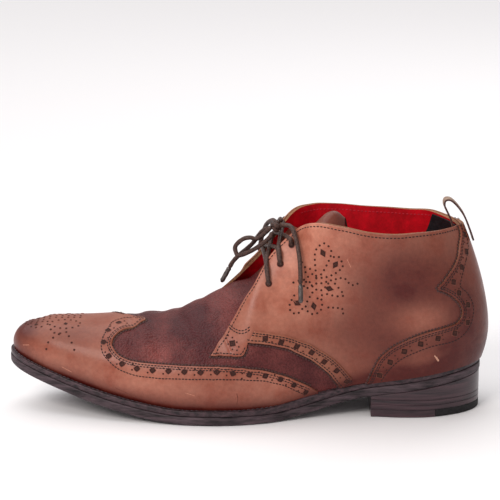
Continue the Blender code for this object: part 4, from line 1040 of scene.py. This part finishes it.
def weltStitches():
    # Round the toe from the waist, each side from its own end
    count = 600
    loop = outlineLoop("sole", weltSeam["inset"], weltSeam["start"], 23.0, count)
    line = np.column_stack([loop, weltTop(loop[:, 0])]) - middle
    rows = []
    for half in (line[:count][::-1], line[count:]):
        travel = travelled(half)
        spots = np.arange(0, travel[-1], weltSeam["pitch"])
        centre = np.stack([np.interp(spots, travel, half[:, i]) for i in range(3)], 1)
        normal = np.tile([0.0, 0.0, 1.0], (len(centre), 1))
        along = unitRows(np.gradient(centre, axis=0))
        rows.append((centre + [0, 0, weltSeam["lift"]], along, normal, weltSeam["size"]))
    return rows


stitchMesh("welt_stitches", weltStitches(), weltThread)

# One hole: rings as shares of its radius with their lift, the outer one on the burnished lip
holeRings = ((1.18, 0.00002), (0.95, 0.00024), (0.70, 0.00012), (0.4, 0.00007))
holeSides = 12
discTurn = np.linspace(0, 2 * math.pi, holeSides + 1)[:-1]


def holeMesh(name, spots):
    # Each hole is a dark dished disc inside a burnished lip: its rings and a middle; the dark is painted
    # shadow on the ring inside the lip and painted shade on the floor. A diamond pulls the rings towards
    # four corners by its square value.
    points, faces, kinds, start = [], [], [], 0
    n = np.arange(holeSides)
    following = (n + 1) % holeSides
    size = len(holeRings) * holeSides + 1
    diamond = 1 / (np.abs(np.cos(discTurn)) + np.abs(np.sin(discTurn)))
    for side, k, h, lift, wide, tall, turn, square in spots:
        k, h = np.atleast_1d(k).astype(float), np.atleast_1d(h).astype(float)
        centre, normal = onShoe(side, k, h, lift)
        along = onShoe(side, k - 0.05, h, lift)[0] - centre
        along = unitRows(along - (along * normal).sum(1)[:, None] * normal)
        up = np.cross(normal, along)
        up *= np.where(up[:, 2:] < 0, -1, 1)
        c, s = math.cos(turn), math.sin(turn)
        first, second = c * along + s * up, -s * along + c * up
        radius = (1 - square) + square * diamond
        lump = []
        for share, depth in holeRings:
            x = 0.5 * wide * share * radius * np.cos(discTurn)
            y = 0.5 * tall * share * radius * np.sin(discTurn)
            place = centre[:, None] + x[None, :, None] * first[:, None] + y[None, :, None] * second[:, None]
            lump.append(place + (depth * normal)[:, None])
        lump.append((centre + 0.00005 * normal)[:, None])
        points.append(np.concatenate(lump, 1).reshape(-1, 3))
        offset = (start + size * np.arange(len(k)))[:, None, None]
        for level in range(len(holeRings) - 1):
            low, high = level * holeSides, (level + 1) * holeSides
            quad = np.stack([low + n, low + following, high + following, high + n], 1)
            faces += (offset + quad[None]).reshape(-1, 4).tolist()
            kinds += [level] * (holeSides * len(k))
        fan = np.stack([high + n, high + following, np.full(holeSides, size - 1)], 1)
        faces += (offset + fan[None]).reshape(-1, 3).tolist()
        kinds += [2] * (holeSides * len(k))
        start += size * len(k)
    return meshObject(name, np.concatenate(points), faces, [holeLip, holeShadow, holeShadedFloor], kinds)


bandLine = (
    (15.35, 0.823), (15.75, 0.838), (16.20, 0.715), (16.42, 0.600), (16.40, 0.500), (16.25, 0.400),
    (15.85, 0.345), (15.20, 0.310), (14.65, 0.307), (14.05, 0.312), (13.45, 0.305), (12.85, 0.292),
    (12.45, 0.283), (12.10, 0.278), (11.70, 0.300), (11.35, 0.328), (11.05, 0.335), (10.75, 0.305),
    (10.40, 0.258), (9.75, 0.185), (9.15, 0.107), (8.65, 0.035),
)
stripLine = (
    (10.25, 0.495), (9.65, 0.400), (9.05, 0.330), (8.45, 0.268), (7.95, 0.195), (7.45, 0.122),
    (7.10, 0.048),
)
counterLine = (
    (5.85, 0.055), (5.50, 0.135), (5.05, 0.198), (4.45, 0.238), (3.80, 0.258), (3.10, 0.270),
    (2.40, 0.302), (2.15, 0.403), (2.35, 0.510), (3.00, 0.595), (2.50, 0.660), (1.90, 0.745),
    (1.20, 0.833), (0.95, 0.92),
)
# Rows of diamonds with a pair of dots in each gap. A diamond is its width, height, turn and
# squareness; inset is that of the dots, skip the diamonds left out, margin that to the cap's edge.
brogueRows = (
    dict(line=bandLine, pitch=0.0107, lift=firstTop, diamond=(0.0042, 0.0040, 0.0, 0.6), dot=0.0011,
         inset=0.0017, skip=1, margin=0.15),
    dict(line=stripLine, pitch=0.0115, lift=secondTop, diamond=(0.0050, 0.0042, 0.0, 0.9), dot=0.0010,
         inset=0.0014),
    dict(line=counterLine, pitch=0.0118, lift=secondTop, diamond=(0.0048, 0.0052, 0.5, 0.9), dot=0.0010,
         inset=0.0015),
)
# Rosette of the quarter: outlines of dots, and diamonds of (station, height, turn)
petals = (
    ((8.15, 0.700), (8.15, 0.795), (8.05, 0.850), (7.70, 0.885), (7.50, 0.855), (7.50, 0.820),
     (7.75, 0.745), (7.95, 0.705)),
    ((7.40, 0.810), (7.20, 0.812), (7.10, 0.763), (7.20, 0.738), (7.50, 0.703), (7.85, 0.685),
     (8.15, 0.690)),
    ((8.75, 0.792), (8.60, 0.757), (8.40, 0.745), (8.30, 0.710), (8.15, 0.685)),
    ((8.85, 0.745), (8.60, 0.730), (8.50, 0.712), (8.60, 0.690), (9.15, 0.705)),
    ((8.55, 0.640), (8.20, 0.655), (7.90, 0.655), (7.45, 0.675), (7.10, 0.685), (6.85, 0.645),
     (6.60, 0.655)),
    ((7.45, 0.650), (7.25, 0.608), (7.15, 0.580), (7.45, 0.575), (7.85, 0.590), (8.15, 0.570)),
    ((8.00, 0.560), (8.00, 0.510), (8.25, 0.482), (8.50, 0.495), (8.65, 0.530), (8.58, 0.565),
     (8.35, 0.608)),
    ((8.80, 0.530), (9.00, 0.515), (9.25, 0.545), (9.30, 0.593), (9.12, 0.628)),
    ((7.75, 0.510), (7.45, 0.505), (7.25, 0.500), (7.22, 0.470)),
    ((8.80, 0.635), (8.65, 0.667), (8.50, 0.680), (8.25, 0.628), (7.95, 0.615), (7.70, 0.650)),
)
diamonds = (
    (7.80, 0.828, 0.5), (7.37, 0.765, -0.5), (7.68, 0.620, 1.3), (8.32, 0.530, 0.0), (9.02, 0.578, 0.6),
)
# Medallion of the toe
toePetals = (
    ((21.6, 0.86), (20.8, 0.90), (20.0, 0.93), (19.2, 0.95), (18.4, 0.96), (17.6, 0.965)),
    ((20.9, 0.78), (20.3, 0.70), (19.6, 0.68), (19.1, 0.75), (19.3, 0.84), (20.0, 0.86), (20.7, 0.83)),
    ((19.0, 0.72), (18.5, 0.66), (17.9, 0.68), (17.5, 0.76), (17.8, 0.85), (18.4, 0.87), (18.9, 0.81)),
    ((19.05, 0.33), (18.95, 0.43), (18.70, 0.50), (18.45, 0.555)),
    ((17.95, 0.545), (17.80, 0.47), (17.65, 0.39)),
    ((18.9, 0.62), (18.6, 0.56), (18.1, 0.60)),
)
eyelets = {
    -1: ((10.10, 0.83), (9.65, 0.875), (9.20, 0.93)), 1: ((10.05, 0.85), (9.58, 0.89), (9.15, 0.935)),
}
tab = dict(place=(11.45, 0.560), reach=(0.24, 0.048), dots=8, dot=0.0011, diamond=0.0052)
dotted = dict(petalPitch=0.0034, petalDot=0.0013, toePitch=0.0042, toeDot=0.0014, eyelet=0.0042)
petalDiamond, toeDiamond = (0.0036, 0.0056), (0.0030, 0.0034, 0.4, 1.0)


def dots(size):
    return size, size, 0.0, 0.0


def brogueSpots(side, line, pitch, lift, diamond, dot, inset, skip=0, margin=None):
    k, h = evenRow(side, line, pitch)
    if margin is not None:
        k, h = onCap(side, np.column_stack([k, h]), margin).T
    made = [(side, k[skip:], h[skip:], lift, *diamond)]
    between = np.column_stack([0.5 * (k[1:] + k[:-1]), 0.5 * (h[1:] + h[:-1])])
    for up in (-1, 1):
        pair = insetLine(side, between, inset * up, len(between))
        made.append((side, pair[:, 0], pair[:, 1], lift, *dots(dot)))
    return made


spots = []
for side in (-1, 1):
    for row in brogueRows:
        spots += brogueSpots(side, **row)
    for line in petals:
        k, h = evenRow(side, line, dotted["petalPitch"])
        spots.append((side, k, h, firstTop, *dots(dotted["petalDot"])))
    for k, h, turn in diamonds:
        spots.append((side, k, h, firstTop, *petalDiamond, turn, 1.0))
    for line in toePetals:
        k, h = evenRow(side, line, dotted["toePitch"])
        spots.append((side, k, h, firstTop, *dots(dotted["toeDot"])))
    for k, h in ((20.0, 0.77), (18.2, 0.76)):
        spots.append((side, k, h, firstTop, *toeDiamond))
    for turn in np.linspace(0, 2 * math.pi, tab["dots"] + 1)[:-1]:
        k = tab["place"][0] + tab["reach"][0] * math.cos(turn)
        h = tab["place"][1] + tab["reach"][1] * math.sin(turn)
        spots.append((side, k, h, firstTop, *dots(tab["dot"])))
    spots.append((side, *tab["place"], firstTop, tab["diamond"], tab["diamond"], 0.0, 1.0))
for side in (-1, 1):
    for place in eyelets[side]:
        spots.append((side, *place, firstTop, *dots(dotted["eyelet"])))
holeMesh("punched_holes", spots)
print("stage: stitches and holes")


def tubeMesh(name, path, radius, finish, sides=12, fine=0.0012):
    # A circle carried along the smoothed path, in frames turned as little as possible, thin at
    # both ends and with the ridges of a braid
    path = np.array(path, float)
    length = np.linalg.norm(np.diff(path, axis=0), axis=1).sum()
    count = max(int(length / fine), 4)
    points = curveThrough(path, count)
    run = unitRows(np.gradient(points, axis=0))
    side = np.zeros_like(run)
    side[0] = unitRows(np.cross(run[0], [0.3, 0.2, 1.0]))
    for i in range(1, count):
        side[i] = unitRows(side[i - 1] - run[i] * (side[i - 1] @ run[i]))
    other = np.cross(run, side)
    turn = np.linspace(0, 2 * math.pi, sides + 1)[:-1]
    travel = travelled(points)
    weave = 1 + 0.035 * np.sin(travel[:, None] / 0.0009 + 2 * turn[None])
    toEnd = np.minimum(travel, travel[-1] - travel)
    grow = (radius * np.minimum(1.0, 0.55 + toEnd / 0.0012)[:, None] * weave)[:, :, None]
    across = np.cos(turn)[None, :, None] * side[:, None] + np.sin(turn)[None, :, None] * other[:, None]
    ring = points[:, None] + grow * across
    index = np.arange(count * sides).reshape(count, sides)
    low, high = index[:-1], index[1:]
    quads = np.stack([low, np.roll(low, -1, 1), np.roll(high, -1, 1), high], -1)
    faces = quads.reshape(-1, 4).tolist() + [index[0][::-1].tolist(), index[-1].tolist()]
    made = meshObject(name, ring.reshape(-1, 3), faces, [finish])
    return made, points, travel[-1]


lace = dict(radius=0.0015, aglet=0.0125, agletRadius=0.00165, fromKnot=0.0030)
knot = dict(place=np.array([0.0200, -0.0072, 0.1248]) - middle, radius=0.0016, wide=1.9, wave=0.9, tall=1.5)


def barHalf(side, place):
    # From its eyelet over the facing's edge
    k, h = place
    lift = firstTop + lace["radius"]
    spots = ((k, h - 0.004, lift - 0.0035), (k, h + 0.012, lift), (k + 0.03, 0.965, lift + 0.0004))
    return [onShoe(side, np.array([a]), np.array([b]), c)[0][0] for a, b, c in spots]


def bar(outer, inner, name):
    # Across the tongue from the outer side's eyelet to the inner side's
    near = barHalf(-1, eyelets[-1][outer])
    far = barHalf(1, eyelets[1][inner])[::-1]
    mid = 0.5 * (near[-1] + far[0]) + [0.0, 0.0, 0.0012]
    return tubeMesh(name, near + [mid] + far, lace["radius"], waxedLace)[0]


crossings = ((0, 0), (0, 1), (1, 0), (1, 2), (2, 1))
bars = [bar(o, i, "lace_bar_%d" % n) for n, (o, i) in enumerate(crossings)]
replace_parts(bars[0], "lace_crossings")
# The knot is a trefoil, tilted towards the camera
turn = np.linspace(0, 2 * math.pi, 40)
reach = knot["wide"] + knot["wave"] * np.cos(3 * turn)
knotHeight = knot["tall"] * np.sin(3 * turn)
knotPath = np.stack([reach * np.cos(2 * turn), reach * np.sin(2 * turn), knotHeight], 1) * 0.001
tilt = np.array([[0.5, 0.0, 0.86], [0.0, 1.0, 0.0], [-0.86, 0.0, 0.5]])
knotPath = knotPath @ tilt.T + knot["place"]
wraps, _, _ = tubeMesh("lace_knot_wraps", knotPath, knot["radius"], waxedLace, 10, 0.0007)
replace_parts(wraps, "lace_knot")

# Routes of the free cords in pattern millimetres, from the knot on
laceRoutes = dict(
    lace_end_outer=(
        (25.0, -8.8, 126.0), (29, -14, 126.3), (32, -20, 122.5), (34.5, -27.5, 113), (35.6, -32.5, 103),
        (35.8, -36.4, 92.5),
    ),
    lace_end_inner=(
        (15.0, -3.5, 122.2), (11, 1.5, 119), (4.3, 8, 108.7), (-3.9, 8.6, 101.3), (-8.4, 9.3, 96.3),
        (-10.8, 10, 92.0),
    ),
    lace_loop_front=(
        (15.2, -7.5, 123.5), (8.3, -2, 115.0), (2.9, -1, 115.3), (-1.9, 0, 113.9), (-6.6, 1, 109.3),
        (-6.6, 0, 105.4), (-3.9, -2, 103.3), (6.3, -7, 109.2), (15, -9.8, 116.7), (17.5, -9.5, 121),
    ),
    lace_loop_back=(
        (21.2, -1.6, 127), (18, 6, 125.5), (14, 15, 120.5), (11.3, 25, 110.5), (9.5, 32.0, 99),
        (12.5, 35.5, 96.5), (17, 32.5, 103), (19.5, 25, 113), (21.5, 15, 121), (23, 5, 126.5),
        (23.6, -3.6, 127.6),
    ),
)
for name, route in laceRoutes.items():
    points = np.array(route) * 0.001 - middle
    points[0] = knot["place"] + unitRows(points[0] - knot["place"]) * lace["fromKnot"]
    bowName = name.replace("lace_", "bow_")
    cord, line, length = tubeMesh(bowName, points, lace["radius"], waxedLace)
    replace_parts(cord, name)
    if "end" in name:
        along = unitRows(line[-1] - line[-3])
        tipPath = [line[-1] + along * (lace["aglet"] * share - 0.0004) for share in (0, 0.33, 0.66, 1)]
        tipName = name.replace("lace_end", "sealed_tip")
        tip, _, _ = tubeMesh(tipName, tipPath, lace["agletRadius"], aglet)
        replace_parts(tip, name.replace("lace_end", "aglet"))
print("stage: laces")

# Pull loop: its line behind the back seam in mm, as x and z from the top of the seam
strapRoute = np.array((
    (9.4, -10.5), (7.9, -6.0), (6.2, -1.5), (4.4, 3.0), (1.8, 8.0), (-2.2, 13.2), (-6.2, 16.6),
    (-9.6, 16.4), (-10.2, 13.0), (-8.0, 8.0), (-5.6, 3.0), (-4.1, -2.0), (-3.1, -6.5),
)) * 0.001
strapForm = dict(width=0.0090, thick=0.0012, steps=70, columns=9)


def strapPatch():
    seam = lastPoints[-1][0, -1] - middle
    path = curveThrough(strapRoute, strapForm["steps"])
    run = np.gradient(path, axis=0)
    side = unitRows(np.stack([-run[:, 1], run[:, 0]], 1))
    y = np.linspace(-0.5, 0.5, strapForm["columns"]) * strapForm["width"]
    grids = []
    for half in (0.5 * strapForm["thick"], -0.5 * strapForm["thick"]):
        flat = path + side * half
        x, across = np.meshgrid(flat[:, 0], y, indexing="ij")
        z, _ = np.meshgrid(flat[:, 1], y, indexing="ij")
        grids.append(np.stack([x + seam[0], across - middle[1], z + seam[2]], -1))
    return grids[0], grids[1], False


strap = closedSheet("pull_strap", [strapPatch()], [strapWeb, strapWeb, darkEdge])
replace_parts(strap, "pull_loop")


# Inside the heel: stations from its near end, how far its far end slants, heights and lifts
patchForm = dict(start=-1.0, length=4.9, slant=1.2, low=0.74, rise=0.245, front=0.0010, back=0.0002)


def liningPatch():
    share, rise = np.meshgrid(np.linspace(0, 1, 60), np.linspace(0, 1, 24), indexing="ij")
    k = patchForm["start"] + share * (patchForm["length"] - patchForm["slant"] * rise)
    v = patchForm["low"] + patchForm["rise"] * rise
    side = np.where(k < 0, -1, 1)
    outer = onShoe(side, np.abs(k), v, -shoe["wall"] - patchForm["front"])[0]
    inner = onShoe(side, np.abs(k), v, -shoe["wall"] - patchForm["back"])[0]
    return outer, inner, True


patch = closedSheet("heel_patch", [liningPatch()], [blackLining, blackLining, blackLining])
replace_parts(patch, "heel_lining_patch")
print("stage: inside")

floorFinish, _, shader, _ = startMaterial("pale_matt_floor", 0.85, 0.1)
shader.inputs["Base Color"].default_value = linear("#F4F3F5")
mesh = bpy.data.meshes.new("floor")
corners = [(x, y, -0.0002) for x, y in ((-4, -3), (4, -3), (4, 3), (-4, 3))]
mesh.from_pydata(corners, [], [(0, 1, 2, 3)])
mesh.materials.append(floorFinish)
floor = bpy.data.objects.new("floor", mesh)
bpy.context.scene.collection.objects.link(floor)
floor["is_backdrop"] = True

world = bpy.data.worlds.new("studio")
bpy.context.scene.world = world
world.use_nodes = True
sky = world.node_tree.nodes["Background"]
sky.inputs["Color"].default_value = linear("#F4F0EE")
sky.inputs["Strength"].default_value = 0.52
bpy.context.scene.view_settings.view_transform = "Standard"


def areaLight(name, place, aim, size, power, colour):
    lamp = bpy.data.lights.new(name, "AREA")
    lamp.size = size
    lamp.energy = power
    lamp.color = linear(colour)[:3]
    made = bpy.data.objects.new(name, lamp)
    made.location = place
    made.rotation_euler = (Vector(aim) - Vector(place)).to_track_quat("-Z", "Y").to_euler()
    bpy.context.scene.collection.objects.link(made)


areaLight("key_window", (-0.75, -1.15, 1.15), (0, 0, 0.05), 0.7, 15.0, "#FFF9F4")
areaLight("back_rim", (0.5, 1.1, 1.2), (0, 0, 0.08), 0.9, 4.0, "#FFFFFF")
lamp = bpy.data.lights.new("ceiling", "SUN")
lamp.energy = 1.5
lamp.angle = math.radians(60)
sun = bpy.data.objects.new("ceiling", lamp)
sun.rotation_euler = (math.radians(-14), math.radians(-22), 0)
bpy.context.scene.collection.objects.link(sun)

# Fitted to the photo: focal length in pixels of its width, place and tilt
view = dict(focal=2057.6, width=500, sensor=36.0, place=(0.00052, -1.33026, 0.4442), tilt=75.729)
camera = bpy.data.cameras.new("camera")
camera.sensor_width = view["sensor"]
camera.lens = view["focal"] / view["width"] * view["sensor"]
viewer = bpy.data.objects.new("camera", camera)
viewer.location = view["place"]
viewer.rotation_euler = (math.radians(view["tilt"]), 0.0, 0.0)
bpy.context.scene.collection.objects.link(viewer)
bpy.context.scene.camera = viewer

low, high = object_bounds()
print("stage: done")
